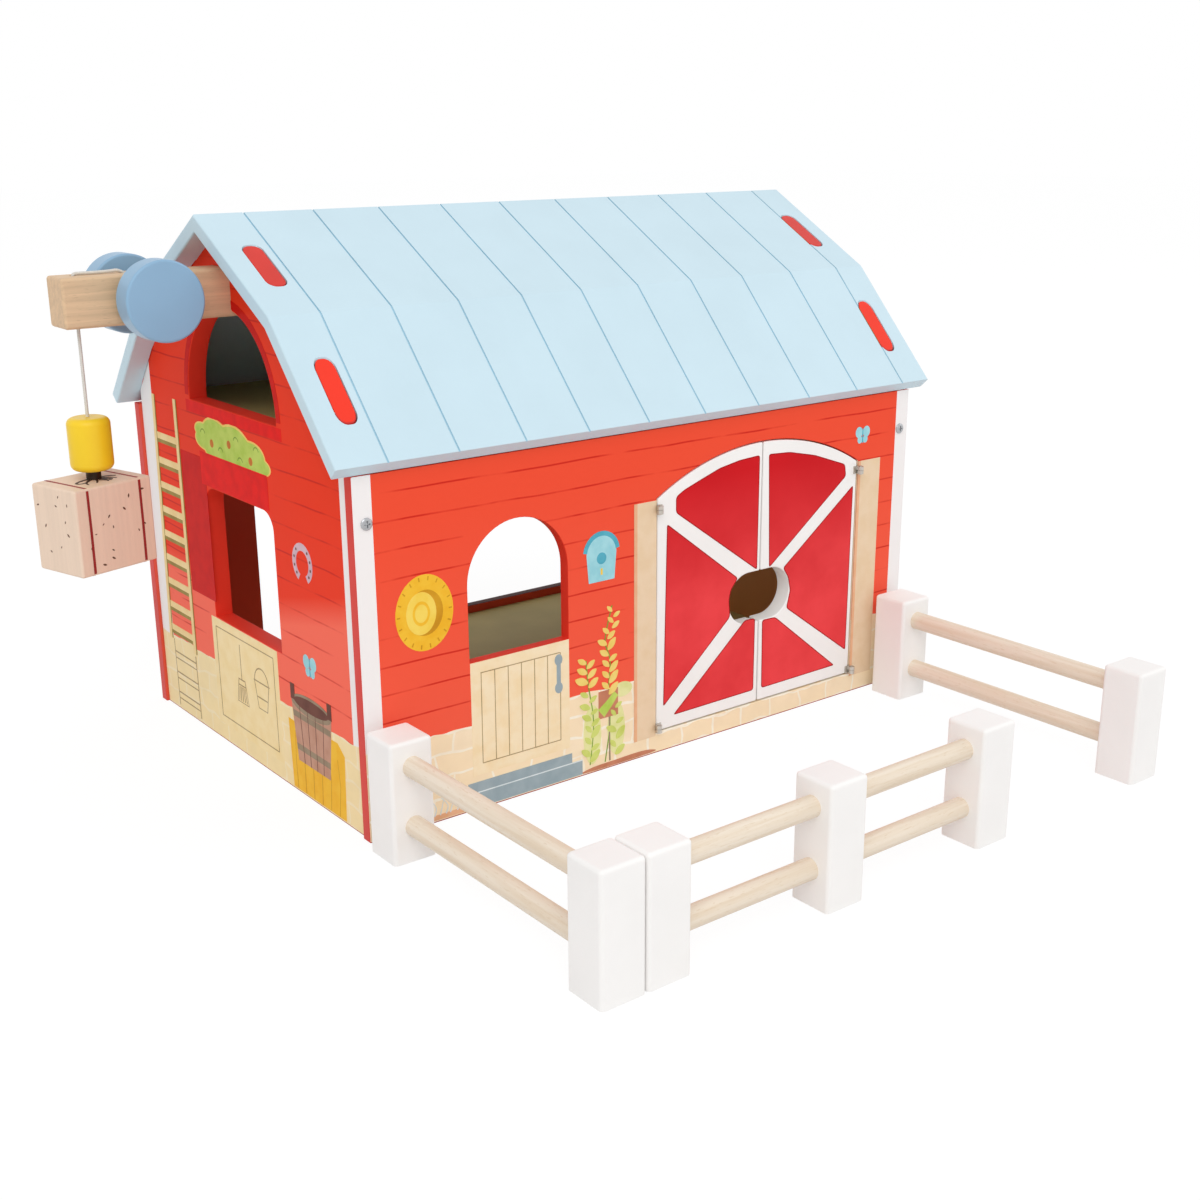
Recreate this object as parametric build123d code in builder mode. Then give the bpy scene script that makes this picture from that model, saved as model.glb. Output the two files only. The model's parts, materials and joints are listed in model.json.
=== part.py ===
from build123d import *
import os
from math import acos, atan2, cos, hypot, pi, radians, sin, sqrt, tan

# Wooden toy barn: a painted box with a gambrel roof that lifts off, a double door, a hay hoist and three fences.
# X runs along the front wall, the front faces -Y, Z = 0 is the ground under the middle of the barn.

os.makedirs("parts", exist_ok=True)

# Barn box
wall_length = 440.0
barn_depth = 298.0
panel_thickness = 8.0
gable_thickness = 12.0
gable_inset = 2.0
floor_top = 14.0
floor_thickness = 9.0
batten_width = 20.0
loft_floor_rise = 6.2
loft_floor_thickness = 9.0
cleat_size = 8.0
cleat_length = 200.0
roof_seat_gap = 0.5

# Roof
ridge_z = 343.5
roof_board = 9.0
upper_pitch = 29.45
lower_pitch = 47.45
break_half = 88.4
roof_overhang = 12.0
roof_edge_round = 1.2
groove_pitch = 45.1
groove_first = 31.6
groove_count = 10
groove_width = 1.2
groove_depth = 0.8

# Tabs of the gables and the slots they stand in, as distances from the ridge plane
slot_spans = ((29.0, 65.5), (108.0, 138.0))
slot_side_gap = 0.5
slot_end_gap = 0.5
slot_low_gap = 1.1
slot_corner = 5.5
tab_sink = 0.3

# Openings
loft_window_radius = 60.0
loft_window_sill_rise = 7.6
loft_window_centre_rise = 2.4
gable_hatch_width = 94.0
gable_hatch_sill = 86.7
gable_hatch_below_loft = 37.2
hatch_corner = 12.0
window_x = -113.2
window_radius = 35.75
window_sill = 93.0
window_head_room = 39.1
doorway_x = 81.5
doorway_width = 180.0
doorway_head_room = 18.8
doorway_rise = 25.0
rear_opening_x = (-142.0, 195.0)
rear_sill_height = 6.0
rear_opening_head_room = 28.8

# Door leaves and their hinges
leaf_thickness = 12.0
leaf_side_gap = 0.9
leaf_middle_gap = 0.8
leaf_back_bevel = 1.5
leaf_top_gap = 0.8
leaf_floor_gap = 1.0
hand_hole_width = 55.0
hand_hole_height = 35.0
hand_hole_z = 90.0
hinge_height = 5.2
hinge_plate = 0.6
hinge_plate_width = 3.4
barrel_radius = 2.1
barrel_clear = 0.3
barrel_gap = 0.2
pin_radius = 0.9
pin_gap = 0.1
pin_end = 0.5
hinge_low_gap = 0.2
hinge_high_gap = 3.9

# Wall screws
screw_low = 30.0
screw_head_room = 26.8
screw_radius = 2.0
screw_depth = 25.0
screw_head_radius = 3.6
screw_head_height = 1.2
screw_socket = 1.6
screw_socket_depth = 0.8

# Hoist
beam_width = 24.0
beam_height = 28.0
beam_drop = 47.7
beam_outer_end = -315.5
beam_inner_end = -166.0
beam_round = 2.0
axle_x = -266.0
axle_radius = 4.0
axle_gap = 0.1
drum_slot_length = 24.0
drum_slot_width = 11.0
disc_radius = 22.8
disc_thickness = 16.5
disc_inner_face = 18.5
disc_round = 1.5
hub_radius = 8.0
hub_gap = 1.0
axle_socket_depth = 9.0
cord_radius = 1.0
cord_turns = 3
cord_turn_gap = 0.5
cord_hole_radius = 2.0
cord_top_gap = 0.1
cord_bend = 2.0
cord_corner_shift = 0.7
cord_start_gap = 5.5
drop_x = -304.5

# Bead, magnet and bale
bead_radius = 12.1
cord_length = 50.5
bead_height = 30.5
bead_round = 4.0
magnet_radius = 4.2
magnet_thickness = 3.0
steel_disc_thickness = 2.3
bale_size = (52.2, 39.4, 50.4)
bale_shift = -1.7
bale_turn = 16.4
bale_round = 1.5

# Fences
post_width = 27.0
post_height = 72.0
post_round = 2.5
rail_radius = 6.0
rail_heights = (21.5, 57.0)
rail_socket = 8.0
left_fence_x = -210.5
front_fence_x = (-182.5, -62.5, 57.5)
right_fence_x = 201.0
fence_near_gap = 21.0
left_fence_reach = 206.5
right_fence_reach = 209.0

# Derived sizes
half_depth = barn_depth / 2
inner_half_depth = half_depth - panel_thickness
left_fence_y = (-half_depth - fence_near_gap, -half_depth - left_fence_reach)
front_fence_y = left_fence_y[1]
right_fence_y = (-half_depth - fence_near_gap, -half_depth - right_fence_reach)
gable_outer = wall_length / 2 - gable_inset
gable_inner = gable_outer - gable_thickness
gable_middle = (gable_outer + gable_inner) / 2
roof_half_length = wall_length / 2 + roof_overhang
upper_slope = tan(radians(upper_pitch))
lower_slope = tan(radians(lower_pitch))
break_z = ridge_z - break_half * upper_slope
apex_inside = ridge_z - roof_board / cos(radians(upper_pitch))
lower_drop = roof_board / cos(radians(lower_pitch))
break_inside = (break_z + break_half * lower_slope - lower_drop - apex_inside) / (lower_slope - upper_slope)
break_inside_z = apex_inside - break_inside * upper_slope
eave_half = half_depth + roof_board * sin(radians(lower_pitch))
panel_top = break_z - (half_depth - break_half) * lower_slope - lower_drop - roof_seat_gap
barrel_offset = hinge_plate + barrel_clear + barrel_radius
loft_floor_top = panel_top + loft_floor_rise
loft_window_sill = loft_floor_top + loft_window_sill_rise
loft_window_centre_z = loft_window_sill + loft_window_centre_rise
gable_hatch_top = loft_floor_top - loft_floor_thickness - gable_hatch_below_loft
window_spring = panel_top - window_head_room - window_radius
doorway_spring = panel_top - doorway_head_room - doorway_rise
rear_opening_z = (floor_top + rear_sill_height, panel_top - rear_opening_head_room)
hinge_bottoms = (
    floor_top + leaf_floor_gap + hinge_low_gap,
    doorway_spring - hinge_high_gap - hinge_height,
)
screw_heights = (screw_low, panel_top - screw_head_room)
beam_bottom = apex_inside - beam_drop
bead_top = beam_bottom - cord_length
bead_bottom = bead_top - bead_height
bale_top = bead_bottom - magnet_thickness - steel_disc_thickness
above_roof = ridge_z + roof_board
beam_middle = beam_bottom + beam_height / 2
beam_top = beam_bottom + beam_height
doorway_radius = ((doorway_width / 2) ** 2 + doorway_rise ** 2) / (2 * doorway_rise)
doorway_centre_z = doorway_spring + doorway_rise - doorway_radius


def roof_top(half):
    """Height of the roof's outer face at a distance from the ridge plane."""
    if half <= break_half:
        return ridge_z - half * upper_slope
    return break_z - (half - break_half) * lower_slope


def roof_under(half):
    """Height of the roof's underside at a distance from the ridge plane."""
    if half <= break_inside:
        return apex_inside - half * upper_slope
    return break_z - (half - break_half) * lower_slope - lower_drop


def save(built, name):
    """Name a finished piece and write it out."""
    built.part.label = name
    export_step(built.part, f"parts/{name}.step")


def block(low, high):
    """A plain board between two opposite corners."""
    with BuildPart() as piece:
        with Locations(low):
            Box(high[0] - low[0], high[1] - low[1], high[2] - low[2], align=(Align.MIN, Align.MIN, Align.MIN))
    return piece


# Long walls
screw_places = [(x, z) for x in (-gable_middle, gable_middle) for z in screw_heights]

with BuildPart() as front_wall_panel:
    with BuildSketch(Plane.XZ.offset(inner_half_depth)):
        Rectangle(wall_length, panel_top, align=(Align.CENTER, Align.MIN))
        with Locations(*screw_places):
            Circle(screw_radius, mode=Mode.SUBTRACT)
    extrude(amount=panel_thickness)
    # Window with an arched head
    with BuildSketch(Plane.XZ.offset(inner_half_depth)):
        with Locations((window_x, window_spring)):
            Circle(window_radius)
            Rectangle(2 * window_radius, window_spring - window_sill, align=(Align.CENTER, Align.MAX))
    extrude(amount=panel_thickness, mode=Mode.SUBTRACT)
    # Doorway with a flat arch
    with BuildSketch(Plane.XZ.offset(inner_half_depth)):
        with Locations((doorway_x, floor_top)):
            Rectangle(
                doorway_width,
                doorway_spring + doorway_rise - floor_top,
                align=(Align.CENTER, Align.MIN),
            )
        with Locations((doorway_x, doorway_centre_z)):
            Circle(doorway_radius, mode=Mode.INTERSECT)
    extrude(amount=panel_thickness, mode=Mode.SUBTRACT)
save(front_wall_panel, "front_wall_panel")

with BuildPart() as rear_wall_panel:
    with BuildSketch(Plane.XZ.offset(-half_depth)):
        Rectangle(wall_length, panel_top, align=(Align.CENTER, Align.MIN))
        with Locations(*screw_places):
            Circle(screw_radius, mode=Mode.SUBTRACT)
    extrude(amount=panel_thickness)
    # Wide opening for play
    with BuildSketch(Plane.XZ.offset(-half_depth)) as opening:
        with Locations((rear_opening_x[0], rear_opening_z[0])):
            Rectangle(
                rear_opening_x[1] - rear_opening_x[0],
                rear_opening_z[1] - rear_opening_z[0],
                align=(Align.MIN, Align.MIN),
            )
        fillet(opening.vertices().group_by(Axis.Y)[-1], hatch_corner)
    extrude(amount=panel_thickness, mode=Mode.SUBTRACT)
save(rear_wall_panel, "rear_wall_panel")


def gable_panel(base_x, hoist_end):
    """End wall under the roof, with the tabs that hold the roof and its openings."""
    middle_x = base_x + gable_thickness / 2
    wall_side = roof_under(inner_half_depth)
    with BuildPart() as panel:
        with BuildSketch(Plane.YZ.offset(base_x)):
            with BuildLine():
                Polyline(
                    (-inner_half_depth, 0),
                    (inner_half_depth, 0),
                    (inner_half_depth, wall_side),
                    (break_inside, break_inside_z),
                    (0, apex_inside),
                    (-break_inside, break_inside_z),
                    (-inner_half_depth, wall_side),
                    close=True,
                )
            make_face()
        extrude(amount=gable_thickness)
        # Tabs, rounded like the slots they stand in
        for low, high in slot_spans:
            tab_low = low + slot_end_gap
            tab_high = high - slot_low_gap
            tab_start = roof_under(high) - roof_board / 2
            tab_middle = (tab_low + tab_high) / 2
            with BuildSketch(Plane.XY.offset(tab_start)):
                with Locations((middle_x, tab_middle), (middle_x, -tab_middle)):
                    RectangleRounded(gable_thickness, tab_high - tab_low, slot_corner - slot_side_gap)
            extrude(amount=roof_top(low) - tab_start)
        with BuildSketch(Plane.YZ.offset(base_x)):
            with BuildLine():
                Polyline(
                    (-half_depth, roof_top(half_depth) - tab_sink),
                    (-break_half, break_z - tab_sink),
                    (0, ridge_z - tab_sink),
                    (break_half, break_z - tab_sink),
                    (half_depth, roof_top(half_depth) - tab_sink),
                    (half_depth, above_roof),
                    (-half_depth, above_roof),
                    close=True,
                )
            make_face()
        extrude(amount=gable_thickness, mode=Mode.SUBTRACT)
        # Half-round loft window
        with BuildSketch(Plane.YZ.offset(base_x)):
            with Locations((0, loft_window_centre_z)):
                Circle(loft_window_radius)
            with Locations((0, loft_window_sill)):
                Rectangle(
                    2 * loft_window_radius,
                    2 * loft_window_radius,
                    align=(Align.CENTER, Align.MAX),
                    mode=Mode.SUBTRACT,
                )
        extrude(amount=gable_thickness, mode=Mode.SUBTRACT)
        if hoist_end:
            # Hatch over the painted stable door
            with BuildSketch(Plane.YZ.offset(base_x)) as hatch:
                with Locations((0, gable_hatch_sill)):
                    Rectangle(
                        gable_hatch_width,
                        gable_hatch_top - gable_hatch_sill,
                        align=(Align.CENTER, Align.MIN),
                    )
                fillet(hatch.vertices().group_by(Axis.Y)[-1], hatch_corner)
            extrude(amount=gable_thickness, mode=Mode.SUBTRACT)
            # Notch for the hoist beam
            with BuildSketch(Plane.YZ.offset(base_x)):
                with Locations((0, beam_middle)):
                    Rectangle(beam_width, beam_height)
            extrude(amount=gable_thickness, mode=Mode.SUBTRACT)
        # Screw holes from both long walls
        with BuildSketch(Plane.XZ.offset(inner_half_depth)):
            with Locations(*[(middle_x, z) for z in screw_heights]):
                Circle(screw_radius)
        extrude(amount=-screw_depth, mode=Mode.SUBTRACT)
        with BuildSketch(Plane.XZ.offset(-inner_half_depth)):
            with Locations(*[(middle_x, z) for z in screw_heights]):
                Circle(screw_radius)
        extrude(amount=screw_depth, mode=Mode.SUBTRACT)
    return panel


save(gable_panel(-gable_outer, True), "left_gable_panel")
save(gable_panel(gable_inner, False), "right_gable_panel")

# Floor on three battens, and the hay loft on two cleats
floor_bottom = floor_top - floor_thickness
loft_bottom = loft_floor_top - loft_floor_thickness
batten_edge = inner_half_depth - batten_width
save(
    block((-gable_inner, -inner_half_depth, floor_bottom), (gable_inner, inner_half_depth, floor_top)),
    "floor_board",
)
save(
    block((-gable_inner, -inner_half_depth, 0), (gable_inner, -batten_edge, floor_bottom)),
    "floor_batten_front",
)
save(
    block((-gable_inner, batten_edge, 0), (gable_inner, inner_half_depth, floor_bottom)),
    "floor_batten_rear",
)
save(
    block((-gable_inner, -batten_width / 2, 0), (gable_inner, batten_width / 2, floor_bottom)),
    "floor_batten_middle",
)
save(
    block((-gable_inner, -inner_half_depth, loft_bottom), (gable_inner, inner_half_depth, loft_floor_top)),
    "loft_floor_board",
)
cleat_low = loft_bottom - cleat_size
cleat_half = cleat_length / 2
save(
    block((-gable_inner, -cleat_half, cleat_low), (-gable_inner + cleat_size, cleat_half, loft_bottom)),
    "loft_cleat_left",
)
save(
    block((gable_inner - cleat_size, -cleat_half, cleat_low), (gable_inner, cleat_half, loft_bottom)),
    "loft_cleat_right",
)

# Wall screws, four in each long wall
with BuildPart() as wall_screws:
    for side in (-1, 1):
        with BuildSketch(Plane.XZ.offset(-side * half_depth)):
            with Locations(*screw_places):
                Circle(screw_radius)
        extrude(amount=side * (panel_thickness + screw_depth))
        with BuildSketch(Plane.XZ.offset(-side * half_depth)):
            with Locations(*screw_places):
                Circle(screw_head_radius)
        extrude(amount=-side * screw_head_height)
        with BuildSketch(Plane.XZ.offset(-side * (half_depth + screw_head_height))):
            with Locations(*screw_places):
                RegularPolygon(screw_socket, 6)
        extrude(amount=side * screw_socket_depth, mode=Mode.SUBTRACT)
save(wall_screws, "wall_screws")


def door_leaf(side):
    """One leaf of the double door, with half of the hand hole in its free edge."""
    leaf_bottom = floor_top + leaf_floor_gap
    leaf_width = doorway_width / 2 - leaf_side_gap - leaf_middle_gap / 2
    along = Align.MIN if side > 0 else Align.MAX
    with BuildPart() as leaf:
        with BuildSketch(Plane.XZ.offset(half_depth - leaf_thickness)):
            with Locations((doorway_x + side * leaf_middle_gap / 2, leaf_bottom)):
                Rectangle(leaf_width, doorway_spring + doorway_rise - leaf_bottom, align=(along, Align.MIN))
            with Locations((doorway_x, doorway_centre_z)):
                Circle(doorway_radius - leaf_top_gap, mode=Mode.INTERSECT)
            with Locations((doorway_x, hand_hole_z)):
                SlotOverall(hand_hole_width, hand_hole_height, mode=Mode.SUBTRACT)
        extrude(amount=leaf_thickness)
        # Free edge slopes back so that it swings clear of the other leaf
        free_x = doorway_x + side * leaf_middle_gap / 2
        back_y = leaf_thickness - half_depth
        with BuildSketch(Plane.XY):
            with BuildLine():
                Polyline(
                    (free_x, -half_depth),
                    (free_x + side * leaf_back_bevel, back_y),
                    (free_x - side * leaf_back_bevel, back_y),
                    (free_x - side * leaf_back_bevel, -half_depth),
                    close=True,
                )
            make_face()
        extrude(amount=above_roof, mode=Mode.SUBTRACT)
    return leaf


save(door_leaf(-1), "left_door")
save(door_leaf(1), "right_door")

# Hinges: each turns about a pin in front of the jamb
half_barrel = (hinge_height - barrel_gap) / 2
hinge_y = -half_depth - barrel_offset


def jamb(side):
    """Place of the doorway's edge on one side."""
    return doorway_x + side * doorway_width / 2


def hinge_x(side):
    """Place of the hinge pin on one side."""
    return jamb(side) - side * hinge_plate / 2


with BuildPart() as door_hinge_frame_plates:
    for side in (-1, 1):
        for low in hinge_bottoms:
            along = Align.MAX if side > 0 else Align.MIN
            with BuildSketch(Plane.XY.offset(low)):
                with Locations((jamb(side), -half_depth)):
                    Rectangle(hinge_plate, panel_thickness, align=(along, Align.MIN))
            extrude(amount=hinge_height)
            with BuildSketch(Plane.XY.offset(low)):
                with Locations((jamb(side), -half_depth)):
                    Rectangle(hinge_plate, barrel_offset, align=(along, Align.MAX))
                with Locations((hinge_x(side), hinge_y)):
                    Circle(barrel_radius)
                    Circle(pin_radius, mode=Mode.SUBTRACT)
            extrude(amount=half_barrel)
save(door_hinge_frame_plates, "door_hinge_frame_plates")


def leaf_hinge_plates(side):
    """The two hinge plates on the face of one door leaf."""
    leaf_edge = jamb(side) - side * leaf_side_gap
    along = Align.MAX if side > 0 else Align.MIN
    with BuildPart() as plates:
        for low in hinge_bottoms:
            with BuildSketch(Plane.XY.offset(low)):
                with Locations((leaf_edge, -half_depth)):
                    Rectangle(hinge_plate_width, hinge_plate, align=(along, Align.MAX))
            extrude(amount=hinge_height)
            with BuildSketch(Plane.XY.offset(low + hinge_height - half_barrel)):
                with Locations((hinge_x(side), -half_depth - barrel_gap)):
                    Rectangle(hinge_plate_width / 2, barrel_offset / 2, align=(along, Align.MAX))
                with Locations((hinge_x(side), hinge_y)):
                    Circle(barrel_radius)
                    Circle(pin_radius + pin_gap, mode=Mode.SUBTRACT)
            extrude(amount=half_barrel)
    return plates


save(leaf_hinge_plates(-1), "left_door_hinge_plates")
save(leaf_hinge_plates(1), "right_door_hinge_plates")

with BuildPart() as door_hinge_pins:
    for low in hinge_bottoms:
        with BuildSketch(Plane.XY.offset(low - pin_end)):
            with Locations((hinge_x(-1), hinge_y), (hinge_x(1), hinge_y)):
                Circle(pin_radius)
        extrude(amount=hinge_height + 2 * pin_end)
save(door_hinge_pins, "door_hinge_pins")

# Hoist beam through the gable, slotted for the winding and bored for the cord
with BuildPart() as hoist_beam:
    with BuildSketch(Plane.YZ.offset(beam_outer_end)):
        with Locations((0, beam_middle)):
            RectangleRounded(beam_width, beam_height, beam_round)
    extrude(amount=beam_inner_end - beam_outer_end)
    fillet(hoist_beam.faces().sort_by(Axis.X)[0].edges(), beam_round * 0.9)
    with BuildSketch(Plane.XY.offset(beam_bottom)):
        with Locations((axle_x, 0)):
            SlotOverall(drum_slot_length, drum_slot_width)
        with Locations((drop_x, 0)):
            Circle(cord_hole_radius)
    extrude(amount=beam_height, mode=Mode.SUBTRACT)
    with BuildSketch(Plane.XZ.offset(beam_width / 2)):
        with Locations((axle_x, beam_middle)):
            Circle(axle_radius + axle_gap)
    extrude(amount=-beam_width, mode=Mode.SUBTRACT)
save(hoist_beam, "hoist_beam")

# Axle, discs and winding, which turn together
axle_half = disc_inner_face + axle_socket_depth
with BuildPart() as hoist_axle:
    with BuildSketch(Plane.XZ.offset(axle_half)):
        with Locations((axle_x, beam_middle)):
            Circle(axle_radius)
    extrude(amount=-2 * axle_half)
save(hoist_axle, "hoist_axle")


def hoist_disc(side):
    """Turning disc with a short hub that keeps it off the beam."""
    hub_end = beam_width / 2 + hub_gap
    with BuildPart() as disc:
        with BuildSketch(Plane.XZ.offset(-side * disc_inner_face)):
            with Locations((axle_x, beam_middle)):
                Circle(disc_radius)
        extrude(amount=-side * disc_thickness)
        fillet(disc.edges().filter_by(GeomType.CIRCLE), disc_round)
        with BuildSketch(Plane.XZ.offset(-side * hub_end)):
            with Locations((axle_x, beam_middle)):
                Circle(hub_radius)
        extrude(amount=-side * (disc_inner_face - hub_end))
        with BuildSketch(Plane.XZ.offset(-side * hub_end)):
            with Locations((axle_x, beam_middle)):
                Circle(axle_radius)
        extrude(amount=-side * (axle_half - hub_end), mode=Mode.SUBTRACT)
    return disc


save(hoist_disc(-1), "hoist_disc_front")
save(hoist_disc(1), "hoist_disc_rear")

# Three turns of cord round the axle in half-turn arcs, each sloped along the axle like laid cord
winding_radius = axle_radius + cord_radius
half_turn_step = (2 * cord_radius + cord_turn_gap) / 2


def winding_point(half_turns):
    """Centre of the cord after a number of half turns, one of a half being midway through an arc."""
    along = (half_turns - cord_turns) * half_turn_step
    if half_turns == int(half_turns):
        across = winding_radius * (-1) ** int(half_turns)
        return (axle_x + across, along, beam_middle)
    reach = hypot(winding_radius, half_turn_step / 2)
    return (axle_x, along, beam_middle + reach * (-1) ** int(half_turns))


with BuildPart() as cord_winding:
    with BuildLine() as turns:
        for half_turn in range(2 * cord_turns):
            ThreePointArc(winding_point(half_turn), winding_point(half_turn + 0.5), winding_point(half_turn + 1))
    with BuildSketch(Plane(origin=turns.line @ 0, z_dir=turns.line % 0)):
        Circle(cord_radius)
    sweep()
print("winding: pitch", 2 * half_turn_step, "gap between turns", 2 * half_turn_step - 2 * cord_radius)
print("winding: volume", cord_winding.part.volume, "against", turns.wire().length * pi * cord_radius ** 2)
save(cord_winding, "cord_winding")

# Cord from the winding over the end of the slot, along the beam's top and down its hole
cord_top_z = beam_top + cord_radius + cord_top_gap
corner_x = axle_x - drum_slot_length / 2 + cord_corner_shift
reach = hypot(corner_x - axle_x, cord_top_z - beam_middle)
leave_angle = atan2(cord_top_z - beam_middle, corner_x - axle_x) - acos(winding_radius / reach)
leave_x = axle_x + winding_radius * cos(leave_angle)
leave_z = beam_middle + winding_radius * sin(leave_angle)
leave_share = cord_start_gap / sqrt(reach ** 2 - winding_radius ** 2)
cord_start = (leave_x + (corner_x - leave_x) * leave_share, leave_z + (cord_top_z - leave_z) * leave_share)

with BuildPart() as hoist_cord_upper:
    with BuildLine(Plane.XZ) as cord_path:
        FilletPolyline(
            cord_start,
            (corner_x, cord_top_z),
            (drop_x, cord_top_z),
            (drop_x, beam_bottom),
            radius=cord_bend,
        )
    with BuildSketch(Plane(origin=cord_path.line @ 0, z_dir=cord_path.line % 0)):
        Circle(cord_radius)
    sweep()
save(hoist_cord_upper, "hoist_cord_upper")

with BuildPart() as hoist_cord:
    with BuildSketch(Plane.XY.offset(bead_top)):
        with Locations((drop_x, 0)):
            Circle(cord_radius)
    extrude(amount=beam_bottom - bead_top)
save(hoist_cord, "hoist_cord")

with BuildPart() as hoist_bead:
    with BuildSketch(Plane.XY.offset(bead_bottom)):
        with Locations((drop_x, 0)):
            Circle(bead_radius)
    extrude(amount=bead_top - bead_bottom)
    fillet(hoist_bead.edges().filter_by(GeomType.CIRCLE), bead_round)
save(hoist_bead, "hoist_bead")

with BuildPart() as bead_magnet:
    with BuildSketch(Plane.XY.offset(bead_bottom)):
        with Locations((drop_x, 0)):
            Circle(magnet_radius)
    extrude(amount=-magnet_thickness)
save(bead_magnet, "bead_magnet")

with BuildPart() as bale_steel_disc:
    with BuildSketch(Plane.XY.offset(bale_top)):
        with Locations((drop_x, 0)):
            Circle(magnet_radius)
    extrude(amount=steel_disc_thickness)
save(bale_steel_disc, "bale_steel_disc")

with BuildPart() as hay_bale:
    with Locations(Location((drop_x + bale_shift, 0, bale_top), (0, 0, bale_turn))):
        Box(bale_size[0], bale_size[1], bale_size[2], align=(Align.CENTER, Align.CENTER, Align.MAX))
    fillet(hay_bale.edges(), bale_round)
save(hay_bale, "hay_bale")


def roof_line(start, slope, half):
    """Height at a distance from the ridge plane on a straight slope through a start point."""
    return start[1] - (half - start[0]) * slope


def roof_plank(side, outline, start, slope, end, span):
    """One long roof board on one side of the ridge, grooved into planks and slotted for the tabs."""
    with BuildPart() as board:
        with BuildSketch(Plane.YZ.offset(-roof_half_length)):
            with BuildLine():
                Polyline(*[(side * half, z) for half, z in outline], close=True)
            make_face()
        extrude(amount=2 * roof_half_length)
        long_ends = [
            edge
            for edge in board.edges()
            if abs(abs(edge.center().X) - roof_half_length) < 0.01 and edge.length > 2 * roof_board
        ]
        fillet(long_ends, roof_edge_round)
        # Slots for the tabs
        low, high = span
        with BuildSketch(Plane.XY):
            with Locations((-gable_middle, side * (low + high) / 2), (gable_middle, side * (low + high) / 2)):
                RectangleRounded(gable_thickness + 2 * slot_side_gap, high - low, slot_corner)
        extrude(amount=above_roof, mode=Mode.SUBTRACT)
        # Grooves between the planks
        first = start[0] - 2 * groove_depth
        last = end + 2 * groove_depth
        for index in range(groove_count):
            groove_x = -roof_half_length + groove_first + index * groove_pitch - groove_width / 2
            with BuildSketch(Plane.YZ.offset(groove_x)):
                with BuildLine():
                    Polyline(
                        (side * first, roof_line(start, slope, first) - groove_depth),
                        (side * last, roof_line(start, slope, last) - groove_depth),
                        (side * last, roof_line(start, slope, last) + roof_board),
                        (side * first, roof_line(start, slope, first) + roof_board),
                        close=True,
                    )
                make_face()
            extrude(amount=groove_width, mode=Mode.SUBTRACT)
    return board


ridge_point = (0.0, ridge_z)
break_point = (break_half, break_z)
upper_outline = (ridge_point, break_point, (break_inside, break_inside_z), (0.0, apex_inside))
lower_outline = (
    break_point,
    (eave_half, roof_top(eave_half)),
    (half_depth, roof_under(half_depth)),
    (break_inside, break_inside_z),
)
for side, place in ((-1, "front"), (1, "rear")):
    save(
        roof_plank(side, upper_outline, ridge_point, upper_slope, break_half, slot_spans[0]),
        "roof_upper_" + place,
    )
    save(
        roof_plank(side, lower_outline, break_point, lower_slope, eave_half, slot_spans[1]),
        "roof_lower_" + place,
    )

# Fences: square posts with blind sockets, round rails glued into them
socket_reach = post_width / 2 - rail_socket


def fence_post(x, y, sides):
    """Post with rail sockets towards the given sides."""
    with BuildPart() as post:
        with BuildSketch(Plane.XY):
            with Locations((x, y)):
                RectangleRounded(post_width, post_width, post_round)
        extrude(amount=post_height)
        fillet(post.faces().sort_by(Axis.Z)[-1].edges(), post_round * 0.9)
        for step_x, step_y in sides:
            for height in rail_heights:
                socket_bottom = (x + step_x * socket_reach, y + step_y * socket_reach, height)
                with BuildSketch(Plane(origin=socket_bottom, z_dir=(step_x, step_y, 0))):
                    Circle(rail_radius)
                extrude(amount=rail_socket, mode=Mode.SUBTRACT)
    return post


def fence_rail(start, end, height):
    """Rail between two post centres, from socket bottom to socket bottom."""
    length = hypot(end[0] - start[0], end[1] - start[1])
    step = ((end[0] - start[0]) / length, (end[1] - start[1]) / length)
    foot = (start[0] + step[0] * socket_reach, start[1] + step[1] * socket_reach, height)
    with BuildPart() as rail:
        with BuildSketch(Plane(origin=foot, z_dir=(step[0], step[1], 0))):
            Circle(rail_radius)
        extrude(amount=length - 2 * socket_reach)
    return rail


rail_names = ("bottom", "top")
for name, x, (near_y, far_y) in (("left", left_fence_x, left_fence_y), ("right", right_fence_x, right_fence_y)):
    save(fence_post(x, near_y, ((0, -1),)), f"{name}_fence_post_near")
    save(fence_post(x, far_y, ((0, 1),)), f"{name}_fence_post_far")
    for height, level in zip(rail_heights, rail_names):
        save(fence_rail((x, near_y), (x, far_y), height), f"{name}_fence_rail_{level}")

left_post, middle_post, right_post = [(x, front_fence_y) for x in front_fence_x]
save(fence_post(*left_post, ((1, 0),)), "front_fence_post_left")
save(fence_post(*middle_post, ((-1, 0), (1, 0))), "front_fence_post_middle")
save(fence_post(*right_post, ((-1, 0),)), "front_fence_post_right")
for height, level in zip(rail_heights, rail_names):
    save(fence_rail(left_post, middle_post, height), f"front_fence_left_rail_{level}")
    save(fence_rail(middle_post, right_post, height), f"front_fence_right_rail_{level}")
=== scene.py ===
import json
from math import atan2, cos, degrees, hypot, pi, radians, sin

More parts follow.
